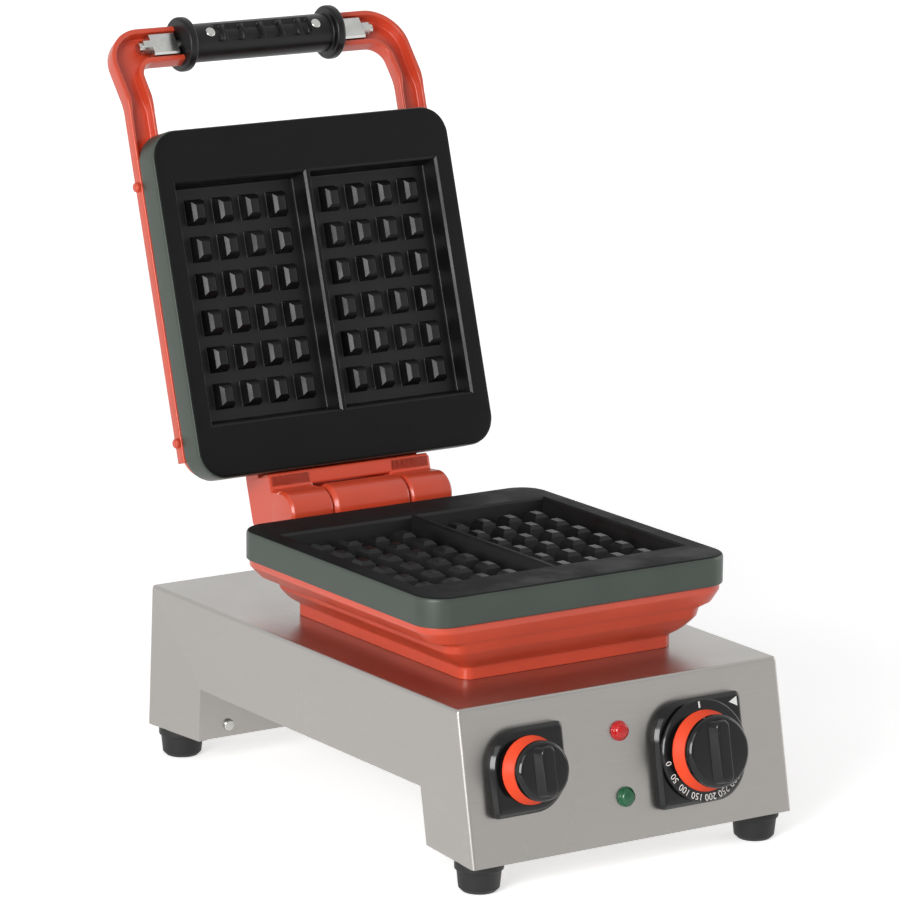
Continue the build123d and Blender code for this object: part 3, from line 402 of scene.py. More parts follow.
def opened(surface):
    """Lid surface, turned about the hinge axis from its closed place to the open rest pose."""
    points, faces = surface
    cosine, sine = math.cos(-OPEN), math.sin(-OPEN)
    y, z = points[:, 1] - HINGE_Y, points[:, 2] - HINGE_Z
    turned = [points[:, 0], HINGE_Y + cosine * y - sine * z, HINGE_Z + sine * y + cosine * z]
    return np.column_stack(turned), faces


def kicked(points):
    """Handle points bent up along an arc: the turn grows evenly with the distance, then stays."""
    start = KICK_Y + KICK_BEND
    run = np.clip(start - points[..., 1], 0, None)
    turn = KICK * np.clip(run / (2 * KICK_BEND), 0, 1)
    radius = 2 * KICK_BEND / KICK
    beyond = np.clip(run - 2 * KICK_BEND, 0, None)
    lift = points[..., 2] - ARM_LOW
    level = np.maximum(points[..., 1], start)
    y = level - radius * np.sin(turn) - beyond * np.cos(turn) + lift * np.sin(turn)
    z = ARM_LOW + radius * (1 - np.cos(turn)) + beyond * np.sin(turn) + lift * np.cos(turn)
    return np.stack([points[..., 0], y, z], -1)


def on_panel(surface, x, z):
    """Surface drawn with its z pointing out, set on the raked front panel at (x, z)."""
    points, faces = surface
    angle = math.atan2(FRONT_RAKE, BASE_HEIGHT)
    cosine, sine = math.cos(angle), math.sin(angle)
    origin = np.array([x, -BASE_DEPTH / 2 + FRONT_RAKE * (z - FOOT_HEIGHT) / BASE_HEIGHT, z])
    return origin + points @ np.array([[1, 0, 0], [0, sine, cosine], [0, -cosine, sine]]), faces


# Pieces in the scene
def new_object(name, data):
    """New object in the scene that shows some data."""
    made = bpy.data.objects.new(name, data)
    bpy.context.scene.collection.objects.link(made)
    return made


def add_piece(name, surface, finishes, body, replaces=(), sharp=32.0, face_finish=None):
    """Puts a surface into a mesh object at the origin, welds its poles and makes it ride on a body."""
    points, faces = surface
    mesh = bpy.data.meshes.new(name)
    mesh.from_pydata((points * MM).tolist(), [], faces)
    for finish in finishes:
        mesh.materials.append(bpy.data.materials[finish])
    if face_finish is not None:
        mesh.polygons.foreach_set("material_index", np.asarray(face_finish, np.int32))
    shape = bmesh.new()
    shape.from_mesh(mesh)
    bmesh.ops.remove_doubles(shape, verts=shape.verts, dist=1e-6)
    bmesh.ops.recalc_face_normals(shape, faces=shape.faces)
    shape.to_mesh(mesh)
    shape.free()
    mesh.shade_smooth()
    mesh.set_sharp_from_angle(angle=math.radians(sharp))
    piece = new_object(name, mesh)
    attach(piece, body)
    if replaces:
        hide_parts(*replaces)


def dress(node, finish):
    """Gives a CAD node's object one of the finishes."""
    materials = frame["nodes"][node].data.materials
    materials.clear()
    materials.append(bpy.data.materials[finish])


# Shader node groups
def set_values(node, **values):
    """Sets a node's own properties, or else its inputs, by their names."""
    for key, value in values.items():
        if hasattr(node, key):
            setattr(node, key, value)
        else:
            node.inputs[key.replace("_", " ")].default_value = value


def put(tree, kind, links=(), **values):
    """Adds a node, sets its properties and input values, and links outputs into its inputs."""
    node = tree.nodes.new(kind)
    set_values(node, **values)
    for source, target in links:
        tree.links.new(source, node.inputs[target])
    return node


def new_group(name, inputs):
    """Empty shader group with a Vector input, float inputs and the outputs Height and Mask."""
    tree = bpy.data.node_groups.new(name, "ShaderNodeTree")
    tree.interface.new_socket("Vector", in_out="INPUT", socket_type="NodeSocketVector")
    for socket, default in inputs.items():
        made = tree.interface.new_socket(socket, in_out="INPUT", socket_type="NodeSocketFloat")
        made.default_value = default
    for socket in ("Height", "Mask"):
        tree.interface.new_socket(socket, in_out="OUTPUT", socket_type="NodeSocketFloat")
    return tree, tree.nodes.new("NodeGroupInput"), tree.nodes.new("NodeGroupOutput")


def cloudy(tree, noise):
    """Mask from a noise, spread over its full range."""
    spread = put(tree, "ShaderNodeMapRange", [(noise.outputs[0], "Value")],
                 interpolation_type="SMOOTHERSTEP", From_Min=0.25, From_Max=0.75)
    return spread.outputs[0]


def grain_group():
    """Cast or moulded skin: fine noise as height, and a broad cloudy noise as mask."""
    tree, given, result = new_group("surface_grain", {"Fine": 900.0, "Broad": 18.0})
    vector = (given.outputs["Vector"], "Vector")
    fine = put(tree, "ShaderNodeTexNoise", [vector, (given.outputs["Fine"], "Scale")],
               Detail=3.0, Roughness=0.6)
    broad = put(tree, "ShaderNodeTexNoise", [vector, (given.outputs["Broad"], "Scale")],
                Detail=4.0, Roughness=0.55)
    tree.links.new(fine.outputs[0], result.inputs["Height"])
    tree.links.new(cloudy(tree, broad), result.inputs["Mask"])


def brushed_group():
    """Brushed lines: noise drawn out along one direction, as height, and slow smudges as mask."""
    tree, given, result = new_group("brushed_lines", {"Smudge": 9.0})
    lines = put(tree, "ShaderNodeTexNoise", [(given.outputs["Vector"], "Vector")],
                Scale=1.0, Detail=2.0, Roughness=0.7)
    place = put(tree, "ShaderNodeTexCoord")
    smudge = put(tree, "ShaderNodeTexNoise",
                 [(place.outputs["Object"], "Vector"), (given.outputs["Smudge"], "Scale")],
                 Detail=3.0, Roughness=0.5)
    tree.links.new(lines.outputs[0], result.inputs["Height"])
    tree.links.new(cloudy(tree, smudge), result.inputs["Mask"])


def new_finish(name):
    """Node tree of a new material, its Principled BSDF and its object coordinates."""
    material = bpy.data.materials.new(name)
    material.use_nodes = True
    tree = material.node_tree
    tree.nodes.clear()
    shader = put(tree, "ShaderNodeBsdfPrincipled")
    put(tree, "ShaderNodeOutputMaterial", [(shader.outputs[0], "Surface")])
    place = put(tree, "ShaderNodeTexCoord")
    return tree, shader, place.outputs["Object"]


def use_group(tree, name, vector, **values):
    """Places one of the shared groups in a material."""
    return put(tree, "ShaderNodeGroup", [(vector, "Vector")], node_tree=bpy.data.node_groups[name], **values)


def blend_colour(tree, mask, first, second):
    """Colour that goes from the first to the second with a mask."""
    mix = put(tree, "ShaderNodeMix", data_type="RGBA")
    mix.inputs[6].default_value = (*first, 1.0)
    mix.inputs[7].default_value = (*second, 1.0)
    tree.links.new(mask, mix.inputs[0])
    return mix.outputs[2]


def ranged(tree, mask, low, high):
    """Value that goes from low to high with a mask."""
    node = put(tree, "ShaderNodeMapRange", [(mask, "Value")], To_Min=low, To_Max=high)
    return node.outputs[0]


def bumped(tree, shader, height, distance, strength=0.5):
    """Bump of a height on a shader's normal, in metres."""
    bump = put(tree, "ShaderNodeBump", [(height, "Height")], Strength=strength, Distance=distance)
    tree.links.new(bump.outputs[0], shader.inputs["Normal"])


def scaled(colour, share):
    """Colour made lighter or darker by a share."""
    return tuple(min(1.0, c * share) for c in colour)


def grained_finish(name, colour, rough, fine=900.0, broad=18.0, depth=2e-5, spread=0.12, metallic=0.0,
                   coat=0.0, coat_rough=0.1, specular=0.5):
    """Finish with a cloudy tint, a roughness that follows it, and a fine grain as bump."""
    tree, shader, place = new_finish(name)
    grain = use_group(tree, "surface_grain", place, Fine=fine, Broad=broad)
    mask = grain.outputs["Mask"]
    tint = blend_colour(tree, mask, scaled(colour, 1 - spread), scaled(colour, 1 + spread))
    tree.links.new(tint, shader.inputs["Base Color"])
    tree.links.new(ranged(tree, mask, rough * 0.85, rough * 1.2), shader.inputs["Roughness"])
    bumped(tree, shader, grain.outputs["Height"], depth)
    set_values(shader, Metallic=metallic, Coat_Weight=coat, Coat_Roughness=coat_rough,
               Specular_IOR_Level=specular)


def brushed_finish(name, colour, rough, lines):
    """Brushed metal: lines drawn out by a mapping of the object's place, with smudges in the roughness."""
    tree, shader, place = new_finish(name)
    drawn = put(tree, "ShaderNodeMapping", [(place, "Vector")], Scale=lines)
    brushed = use_group(tree, "brushed_lines", drawn.outputs[0])
    height, mask = brushed.outputs["Height"], brushed.outputs["Mask"]
    tint = blend_colour(tree, height, scaled(colour, 0.93), scaled(colour, 1.05))
    tree.links.new(tint, shader.inputs["Base Color"])
    tree.links.new(ranged(tree, mask, rough * 0.9, rough * 1.15), shader.inputs["Roughness"])
    bumped(tree, shader, height, 4e-6, 0.25)
    set_values(shader, Metallic=1.0)


def settings():
    """Colours, sizes and stage settings of the scene."""
    scene = bpy.context.scene
    return scene.waffle_finishes, scene.waffle_shapes, scene.waffle_stage


class WAFFLE_OT_finishes(bpy.types.Operator):
    """Make the shared shader groups and every finish"""

    bl_idname = "waffle.finishes"
    bl_label = "Finishes"

    def execute(self, context):
        colours = settings()[0]
        grain_group()
        brushed_group()
        grained_finish("red_enamel", colours.enamel, 0.32, fine=420.0, broad=14.0, depth=3e-5, spread=0.06,
                       coat=0.3, coat_rough=0.12, specular=0.45)
        for name, rough, specular in (("cooking_face", 0.38, 0.3), ("joint_face", 0.6, 0.14)):
            grained_finish(name, colours.iron, rough, fine=1300.0, broad=30.0, spread=0.25, specular=specular)
        grained_finish("plate_edge", colours.band, 0.42, fine=1100.0, broad=22.0, depth=4e-5, spread=0.10,
                       metallic=0.35)
        grained_finish("glossy_black", colours.plastic, 0.14, fine=1500.0, depth=4e-6, spread=0.1,
                       specular=0.4)
        grained_finish("grip_black", colours.plastic, 0.36, fine=1600.0, spread=0.15, specular=0.3)
        grained_finish("ring_orange", colours.orange, 0.4, fine=1500.0, depth=6e-6, spread=0.05,
                       specular=0.12)
        grained_finish("foot_rubber", colours.rubber, 0.6, fine=1400.0, depth=3e-5, spread=0.2)
        grained_finish("bright_zinc", srgb(194, 194, 191), 0.24, fine=700.0, broad=120.0, depth=1e-5,
                       spread=0.08, metallic=1.0)
        grained_finish("dull_steel", srgb(120, 116, 110), 0.5, metallic=1.0)
        grained_finish("bearing_bronze", srgb(190, 148, 92), 0.35, depth=1e-5, metallic=1.0)
        grained_finish("mineral_fibre", srgb(206, 200, 186), 0.9, fine=500.0, broad=60.0, depth=4e-4)
        grained_finish("moulded_black", srgb(38, 38, 39), 0.45, fine=1200.0)
        grained_finish("moulded_cream", srgb(226, 220, 204), 0.45, fine=1200.0)
        grained_finish("printed_white", srgb(244, 244, 240), 0.45, fine=1500.0, depth=4e-6, spread=0.03)
        for name, colour in (("lens_red", srgb(186, 8, 10)), ("lens_green", srgb(4, 88, 52))):
            grained_finish(name, colour, 0.16, fine=300.0, depth=1e-5, spread=0.15, coat=0.2)
        brushed_finish("brushed_steel", colours.steel, 0.3, (34.0, 34.0, 1900.0))
        return {"FINISHED"}


class WAFFLE_OT_frame_nodes(bpy.types.Operator):
    """Give every solid that stays in view its finish"""

    bl_idname = "waffle.frame_nodes"
    bl_label = "Solids that stay"

    def execute(self, context):
        by_slot = {
            "steel": "brushed_steel", "red_paint": "red_enamel", "red_bolt": "red_enamel",
            "black_iron": "cooking_face", "plated": "bright_zinc", "rubber": "foot_rubber",
            "black_plastic": "glossy_black", "grip_plastic": "grip_black",
            "orange_plastic": "ring_orange", "red_lens": "lens_red", "green_lens": "lens_green",
            "inner_plastic": "moulded_black", "terminal_plastic": "moulded_cream",
            "element_steel": "dull_steel", "mineral_pad": "mineral_fibre", "bronze": "bearing_bronze",
        }
        for part in frame["record"]["subparts"]:
            dress(part["node"], by_slot[part["material_slot"]])
        return {"FINISHED"}


# Waffle plates
def pin_side(foot, tip, bevel):
    """Profile of a pin's side: height over distance in from its foot, up a taper and a bevel to its tip."""
    shoulder = (foot - tip) * (1 - bevel / PIN_HEIGHT)
    corners = [(-2.0, 0.0), (0.0, 0.0), (shoulder, PIN_HEIGHT - bevel), (shoulder + bevel, PIN_HEIGHT),
               (foot, PIN_HEIGHT)]
    return rounded(corners, [0, 0.8, 0.5, 0.5, 0])


def recess_wall(bevel):
    """Profile of a recess wall: height over distance in from its edge, down a bevel and its draft."""
    drop = bevel / (1 - RECESS_DRAFT / RECESS_DEPTH)
    corners = [(-2.2, RECESS_DEPTH), (-bevel, RECESS_DEPTH), (drop - bevel, RECESS_DEPTH - drop),
               (RECESS_DRAFT, 0.0), (RECESS_DRAFT + 3.0, 0.0)]
    return rounded(corners, [0, 0.4, 0.4, 1.5, 0])


def grid_lines(centres, foot, side, half, wall):
    """Lines across one recess at every step of the pins' sides and of both walls."""
    lines = [sign * (half - wall[:, 0]) for sign in (-1, 1)]
    lines += [centre + sign * (foot - side[:, 0]) for centre in centres for sign in (-1, 1)]
    return np.unique(np.round(np.concatenate(lines), 5))


def line_heights(place, centres, foot, side, half, wall):
    """Heights of the nearest pin's side and of the wall at places across one recess."""
    inside = foot - np.abs(place[:, None] - centres[None, :]).min(1)
    return np.interp(inside, *side.T), np.interp(half - np.abs(place), *wall.T)


def plate_top(pin_bevel, edge_bevel):
    """Cooking face as a height over a grid of x and y lines, joint face at zero.

    The height is the greater of pin and wall: a pin takes the lesser of its heights across x and y, and a
    wall the greater.
    """
    wall = recess_wall(edge_bevel)
    sides = [pin_side(foot, tip, pin_bevel) for foot, tip in zip(PIN_FOOT, PIN_TIP)]
    sizes_x = (PIN_X, PIN_FOOT[0], sides[0], RECESS_HALF_X, wall)
    sizes_y = (PIN_Y, PIN_FOOT[1], sides[1], RECESS_HALF_Y, wall)
    lines = grid_lines(*sizes_x)
    x = np.concatenate([lines - RECESS_X, [0.0], lines + RECESS_X])
    y = grid_lines(*sizes_y)
    pin_x, wall_x = line_heights(np.abs(x) - RECESS_X, *sizes_x)
    pin_y, wall_y = line_heights(y, *sizes_y)
    pin = np.minimum(pin_x[:, None], pin_y[None, :])
    height = np.maximum(pin, np.maximum(wall_x[:, None], wall_y[None, :])) - RECESS_DEPTH
    return x, y, height


def split_quads(height):
    """Triangles of a height grid, each quad cut along the diagonal whose ends differ most."""
    rows, columns = height.shape
    row, column = np.meshgrid(np.arange(rows - 1), np.arange(columns - 1), indexing="ij")
    a = row * columns + column
    b, c, d = a + columns, a + columns + 1, a + 1
    flat = height.ravel()
    forward = (np.abs(flat[a] - flat[c]) >= np.abs(flat[b] - flat[d]))[..., None]
    first = np.where(forward, np.stack([a, b, c], -1), np.stack([a, b, d], -1))
    second = np.where(forward, np.stack([a, c, d], -1), np.stack([b, c, d], -1))
    return np.concatenate([first.reshape(-1, 3), second.reshape(-1, 3)]).tolist()


def outer_ring(edge_x, edge_y, inset):
    """Plate outline as seen from the middle through each point of the grid's edge.

    A point is stretched to the plate's square, then pulled on to the arc where it falls in a corner.
    """
    half, radius = PLATE_HALF - inset, PLATE_CORNER - inset
    x, y = edge_x / np.abs(edge_x).max() * half, edge_y / np.abs(edge_y).max() * half
    middle_x, middle_y = np.sign(x) * (half - radius), np.sign(y) * (half - radius)
    corner = (np.abs(x) > half - radius) & (np.abs(y) > half - radius)
    reach = np.maximum(np.hypot(x - middle_x, y - middle_y), 1e-9)
    arc_x = middle_x + (x - middle_x) / reach * radius
    arc_y = middle_y + (y - middle_y) / reach * radius
    return np.where(corner, arc_x, x), np.where(corner, arc_y, y)


def plate_surface(pin_bevel, edge_bevel):
    """Plate with its cooking face up at the lower plate's place, and the finish of each of its faces.

    The finishes are numbered: recess and pins 0, outer edge 1, flat joint face 2.
    """
    x, y, height = plate_top(pin_bevel, edge_bevel)
    rows, columns = height.shape
    grid = np.stack([np.repeat(x, columns), PLATE_Y + np.tile(y, rows), FACE_Z + height.ravel()], -1)
    faces = split_quads(height)
    index = np.arange(rows * columns).reshape(rows, columns)
    rim = np.concatenate([index[:-1, 0], index[-1, :-1], index[:0:-1, -1], index[0, :0:-1]])
    edge_x, edge_y = grid[rim, 0], grid[rim, 1] - PLATE_Y
    profile = rounded([(RIM_WIDTH, 0.0), (0.0, 0.0), (0.0, -PLATE_THICK), (BACK_WIDTH, -PLATE_THICK)],
                      [0, RIM_EASE, BACK_EASE, 0], RIM_STEPS)
    rings = []
    for inset, drop in profile:
        ring_x, ring_y = outer_ring(edge_x, edge_y, inset)
        rings.append(np.column_stack([ring_x, PLATE_Y + ring_y, np.full(len(rim), FACE_Z + drop)]))
    points = np.concatenate([grid, *rings])
    count, first, top_faces = len(rim), len(grid), len(faces)
    following = (np.arange(count) + 1) % count
    faces += np.stack([rim, rim[following], first + following, first + np.arange(count)], -1).tolist()
    faces += (np.asarray(quads(len(rings), count)) + first).tolist()
    faces.append(list(range(len(points) - count, len(points))))
    on_face = top_faces + count * (1 + RIM_ROWS_ON_FACE)
    kind = np.ones(len(faces), np.int32)
    kind[:top_faces] = 2 * (height.ravel()[np.asarray(faces[:top_faces])] > -0.01).all(1)
    kind[top_faces:on_face] = 2
    return (points, faces), kind


def turned_over(surface):
    """Surface at the lower plate, turned over to the closed lid's plate."""
    points, faces = surface
    return points * [-1, 1, -1] + [0, 0, 2 * FACE_Z + LID_GAP], faces


class WAFFLE_OT_plates(bpy.types.Operator):
    """Make both waffle plates with their tapered pins"""

    bl_idname = "waffle.plates"
    bl_label = "Waffle plates"

    def execute(self, context):
        shapes = settings()[1]
        surface, kind = plate_surface(shapes.pin_bevel / MM, shapes.edge_bevel / MM)
        over = opened(turned_over(surface))
        finishes = ["cooking_face", "plate_edge", "joint_face"]
        add_piece("waffle_plate_lower", surface, finishes, "base", ["lower_plate"], 40.0, kind)
        add_piece("waffle_plate_upper", over, finishes, "lid", ["upper_plate"], 40.0, kind)
        return {"FINISHED"}


# Castings
def hinge_barrel(radius, x_low, x_high, chamfer, mouth=0.0):
    """Barrel about the hinge axis: a turned profile with chamfered ends, and a bored mouth at its right."""
    inner = radius - chamfer
    profile = [(0, x_low), (inner, x_low), (radius, x_low + chamfer), (radius, x_high - chamfer),
               (inner, x_high)]
    ease = [0, 0.6 * chamfer, 0.7 * chamfer, 0.7 * chamfer, 0.6 * chamfer, 0]
    if mouth:
        profile += [(mouth, x_high), (mouth, x_high - MOUTH_DEPTH)]
        ease += [0.5, 0]
    profile.append((0, profile[-1][1]))
    return along_x(lathe(rounded(profile, ease, 3)), HINGE_Y, HINGE_Z)


def knuckle_arm(radius):
    """Outline of a knuckle's arm: flanks from the hinge axis up to the bracket's top, arched over the pin."""
    near, low, arch = PLATE_REAR + 1, HINGE_Z + 9.6, 8.5
    flanks = rounded([
        (HINGE_Y + arch, HINGE_Z), (HINGE_Y + radius, HINGE_Z), (HINGE_Y + radius, HINGE_Z + radius),
        (HINGE_Y + 5, BRACKET_TOP), (near, BRACKET_TOP), (near, low), (HINGE_Y - radius - 2, low),
        (HINGE_Y - radius, HINGE_Z), (HINGE_Y - arch, HINGE_Z)], [0, 0.2, 6, 4, 2, 2, 1.5, 0.2, 0])
    angle = np.linspace(math.pi, 0, 17)[1:-1]
    over = np.column_stack([HINGE_Y + arch * np.cos(angle), HINGE_Z + arch * np.sin(angle)])
    return np.concatenate([flanks, over])


def gusset_outline(radius):
    """Outline of the gusset from inside the tray's rear wall to the underside of the fixed barrel."""
    inside, behind = PLATE_REAR - 19.5, PLATE_REAR + 1
    return rounded([
        (inside, RIM_Z - 20.5), (inside, RIM_Z - 1), (behind, RIM_Z - 1), (behind, HINGE_Z - 6),
        (HINGE_Y - radius + 3, HINGE_Z), (HINGE_Y + radius - 3, HINGE_Z),
        (HINGE_Y + radius / 2, HINGE_Z - 1.6 * radius)], 2.0, closed=True)


def web_outline(barrel):
    """Outline of the lid's web from the cover's rear edge to the knuckles, clear of the fixed barrel."""
    clear, low = barrel + 1.5, HINGE_Z + 0.6 * barrel
    inside, behind, end = PLATE_REAR - 16, PLATE_REAR + 1, HINGE_Y - barrel / 2
    return rounded([
        (inside, LID_BACK + 0.3), (behind, LID_BACK + 0.3), (behind, low), (HINGE_Y - clear, low),
        (HINGE_Y - clear, HINGE_Z + clear), (end, HINGE_Z + 1.3 * clear), (end, BRACKET_TOP),
        (inside, BRACKET_TOP)], 1.6, closed=True)


def tray_surface():
    """Tray: rings from its rim down a sagging bowl to its foot, with eased levels."""
    share = np.linspace(0, 1, 7)[1:-1, None]
    bowl = TRAY_SHOULDER + share * (TRAY_NECK - TRAY_SHOULDER)
    bowl[:, 0] += BOWL_SAG * np.sin(math.pi * share[:, 0])
    levels = np.concatenate([TRAY_TOP, [TRAY_SHOULDER], bowl, [TRAY_NECK], TRAY_FOOT])
    ease = [0, 0.6, 1.8, 2.0, 3.0, 2.5, *([5.0] * len(bowl)), 3.0, 0.4, 0]
    return loft([tray_ring(*level) for level in rounded(levels, ease)])


def cover_surface():
    """Cover: rings of half width, half depth, corner radius and height, from its flange up to its dome."""
    flange = PLATE_HALF - ARM_WALL
    levels = [(flange - 6, flange - 6, 14.0, LID_BACK + 0.2), (flange, flange, 18.6, LID_BACK + 0.2),
              (flange, flange, 18.6, RAIL_TOP), (92.0, 106.0, 22.0, RAIL_TOP),
              (71.0, 85.0, 17.0, DOME_TOP), (40.0, 54.0, 10.0, DOME_TOP)]
    return loft([stacked(corner_outline(wide, deep, corner, 10), 0, PLATE_Y, z)
                 for wide, deep, corner, z in rounded(levels, [0, 0.8, 2.0, 6.0, 8.0, 0], 6)])


class WAFFLE_OT_lower_casting(bpy.types.Operator):
    """Make the red tray under the lower plate, with the fixed hinge barrel"""

    bl_idname = "waffle.lower_casting"
    bl_label = "Lower casting"

    def execute(self, context):
        radius = settings()[1].barrel_radius / MM
        barrel = hinge_barrel(radius, -BARREL, BARREL, 3.0)
        gusset = extruded(gusset_outline(radius), 3 - BARREL, BARREL - 3, 1.2)
        casting = merged(tray_surface(), barrel, gusset)
        add_piece("red_tray", casting, ["red_enamel"], "base", ["lower_casting"], 38.0)
        return {"FINISHED"}


class WAFFLE_OT_upper_casting(bpy.types.Operator):
    """Make the red cover over the upper plate, with the web and knuckles of the hinge"""

    bl_idname = "waffle.upper_casting"
    bl_label = "Upper casting"

    def execute(self, context):
        shapes = settings()[1]
        radius = shapes.knuckle_radius / MM
        hinge = [extruded(web_outline(shapes.barrel_radius / MM), 0.4 - KNUCKLE, KNUCKLE - 0.4, 1.5)]
        near = BARREL + KNUCKLE_GAP
        for low, high, mouth in ((-KNUCKLE, -near, 0.0), (near, KNUCKLE, PIN_MOUTH)):
            hinge.append(hinge_barrel(radius, low, high, 2.0, mouth))
            hinge.append(extruded(knuckle_arm(radius), low + 0.06, high - 0.06, 1.8))
        casting = opened(merged(cover_surface(), *hinge))
        add_piece("red_cover", casting, ["red_enamel"], "lid", ["upper_casting"], 38.0)
        return {"FINISHED"}


# Handle
def arm_edges():
    """Outer and inner plan edges of the right arm, row by row, from its rear end to the grip."""
    inner_front = HANDLE_FRONT + CROSS_WIDTH
    leg = np.concatenate([np.linspace(ARM_BACK, KICK_Y + 1.2 * KICK_BEND, 8)[:-1],
                          np.linspace(KICK_Y + 1.2 * KICK_BEND, KICK_Y - 1.2 * KICK_BEND, 13)])
    turn = np.linspace(0, math.pi / 2, 19)

    def edge(x, front, bend):
        """One edge: a straight leg, a quarter arc and the front end."""
        straight = np.column_stack([np.full(len(leg), x), leg])
        arc = np.column_stack([x - bend + bend * np.cos(turn), front + bend - bend * np.sin(turn)])
        return np.concatenate([straight, arc, [[GRIP_HALF, front]]])

    return edge(ARM_OUTER, HANDLE_FRONT, OUTER_BEND), edge(ARM_INNER, inner_front, INNER_BEND)


def right_arm():
    """Channel section carried along the arm: web at the back, two flanges towards the plate."""
    top = RAIL_TOP + ARM_WALL
    width = ARM_OUTER - ARM_INNER
    corners = [(0, ARM_LOW), (0, top), (width, top), (width, ARM_LOW), (width - ARM_WALL, ARM_LOW),
               (width - ARM_WALL, RAIL_TOP), (ARM_WALL, RAIL_TOP), (ARM_WALL, ARM_LOW)]
    section = rounded(corners, [1.1, 2.2, 2.2, 1.1, 1.1, 1.0, 1.0, 1.1], closed=True)
    outer, inner = arm_edges()
    reach = np.linalg.norm(inner - outer, axis=1)[:, None]
    across = (inner - outer) / reach
    ahead = np.clip((KICK_Y + KICK_BEND - outer[:, 1]) / FLANGE_RUN, 0, 1)[:, None]
    quarter = len(section) // 4
    inwards = np.repeat([0, -1, 1], [2 * quarter, quarter, quarter])
    near_inner = section[:, 0] > width / 2
    low_edge = section[:, 1] < (ARM_LOW + RAIL_TOP) / 2
    offset = section[:, 0] + near_inner * (reach - width) + FLANGE_THICKER * ahead * inwards
    plan = outer[:, None, :] + across[:, None, :] * offset[..., None]
    height = section[:, 1] - FLANGE_DEEPER * ahead * low_edge
    return loft(kicked(np.concatenate([plan, height[..., None]], -1)))


def mirrored(surface):
    """Surface mirrored to the other side, with its faces turned to point outwards again."""
    points, faces = surface
    return points * [-1, 1, 1], [face[::-1] for face in faces]


class WAFFLE_OT_handle_arms(bpy.types.Operator):
    """Make the two channel arms of the handle"""

    bl_idname = "waffle.handle_arms"
    bl_label = "Handle arms"

    def execute(self, context):
        arm = right_arm()
        for side, surface in (("right", arm), ("left", mirrored(arm))):
            add_piece("channel_arm_" + side, opened(surface), ["red_enamel"], "lid", ["handle_arm_" + side],
                      40.0)
        return {"FINISHED"}


class WAFFLE_OT_grip(bpy.types.Operator):
    """Make the black grip with its collars and ribbed recess"""

    bl_idname = "waffle.grip"
    bl_label = "Grip"

    def execute(self, context):
        shapes = settings()[1]
        radius, collar = shapes.grip_radius / MM, shapes.collar_radius / MM
        end = rounded([(-GRIP_HALF, GRIP_BORE), (-GRIP_HALF, collar), (-COLLAR_SIDE, collar),
                       (-COLLAR_SIDE, radius), (-COLLAR_FOOT, radius)], [0, 2.4, 2.4, 1.6, 0], 6)
        u = np.concatenate([end[:, 0], GRIP_MIDDLE, -end[::-1, 0]])
        base = np.concatenate([end[:, 1], np.full(len(GRIP_MIDDLE), radius), end[::-1, 1]])
        angle = np.linspace(-math.pi, math.pi, GRIP_SEGMENTS + 1)[:-1]
        half, pitch = HOLLOW_LENGTH / 2, HOLLOW_LENGTH / shapes.rib_count
        from_rib = np.abs(((u + half) / pitch) % 1 - 0.5) * pitch
        rib = np.clip((RIB_HALF - from_rib) / RIB_SLOPE, 0, 1)
        along = np.clip((half - np.abs(u)) / HOLLOW_SLOPE, 0, 1)
        around = np.clip((HOLLOW_TURN - np.abs(angle)) / HOLLOW_TURN_SLOPE, 0, 1)
        reach = base[:, None] - HOLLOW_DEPTH * (along * (1 - RIB_SHARE * rib))[:, None] * around
        rings = np.stack([u[:, None] + 0 * reach, GRIP_Y + reach * np.sin(angle),
                          GRIP_Z - reach * np.cos(angle)], -1)
        surface = opened(loft(kicked(rings)))
        add_piece("ribbed_grip", surface, ["grip_black"], "lid", ["grip"], 45.0)
        return {"FINISHED"}


class WAFFLE_OT_feet(bpy.types.Operator):
    """Make the four rubber feet"""

    bl_idname = "waffle.feet"
    bl_label = "Feet"

    def execute(self, context):
        profile = [(0, FOOT_HEIGHT), (16, FOOT_HEIGHT), (16, 15), (14.6, 14.2), (13.4, 2.6), (10.8, 0),
                   (6, 0), (6, 8), (0, 8)]
        points, faces = lathe(rounded(profile, [0, 0.8, 1.0, 0.8, 1.2, 1.0, 0.5, 0.3, 0], 3))
        for side in ("front_left", "front_right", "rear_left", "rear_right"):
            low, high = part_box("foot_" + side)
            middle = [(low.x + high.x) / 2 / MM, (low.y + high.y) / 2 / MM, 0]
            add_piece("rubber_foot_" + side, (points + middle, faces), ["foot_rubber"], "base",
                      ["foot_" + side])
        return {"FINISHED"}


# Controls
def bezel_surface(wide, high):
    """Leaf outline with two large opposite corners, carried up a chamfered profile."""
    rows = rounded([(0.0, 0.0), (0.0, 5.2), (2.8, BEZEL_HEIGHT), (7.0, BEZEL_HEIGHT)], [0, 1.2, 1.2, 0])
    rings = []
    for inset, z in rows:
        corners = [max(BEZEL_SMALL_CORNER - inset, 0.6), BEZEL_LARGE_CORNER - inset] * 2
        rings.append(stacked(corner_outline(wide / 2 - inset, high / 2 - inset, corners, 12), 0, 0, z))
    return loft(rings)


def ring_surface(radius, seat):
    """Flared ring: a turned profile from its wide seat to its narrower top."""
    bore, top = radius - RING_WIDTH, seat + RING_HEIGHT
    profile = [(bore, seat), (radius, seat), (radius - RING_FLARE, top), (bore, top), (bore, seat)]
    return lathe(rounded(profile, [0, 0.8, 1.0, 0.4, 0]), 96)


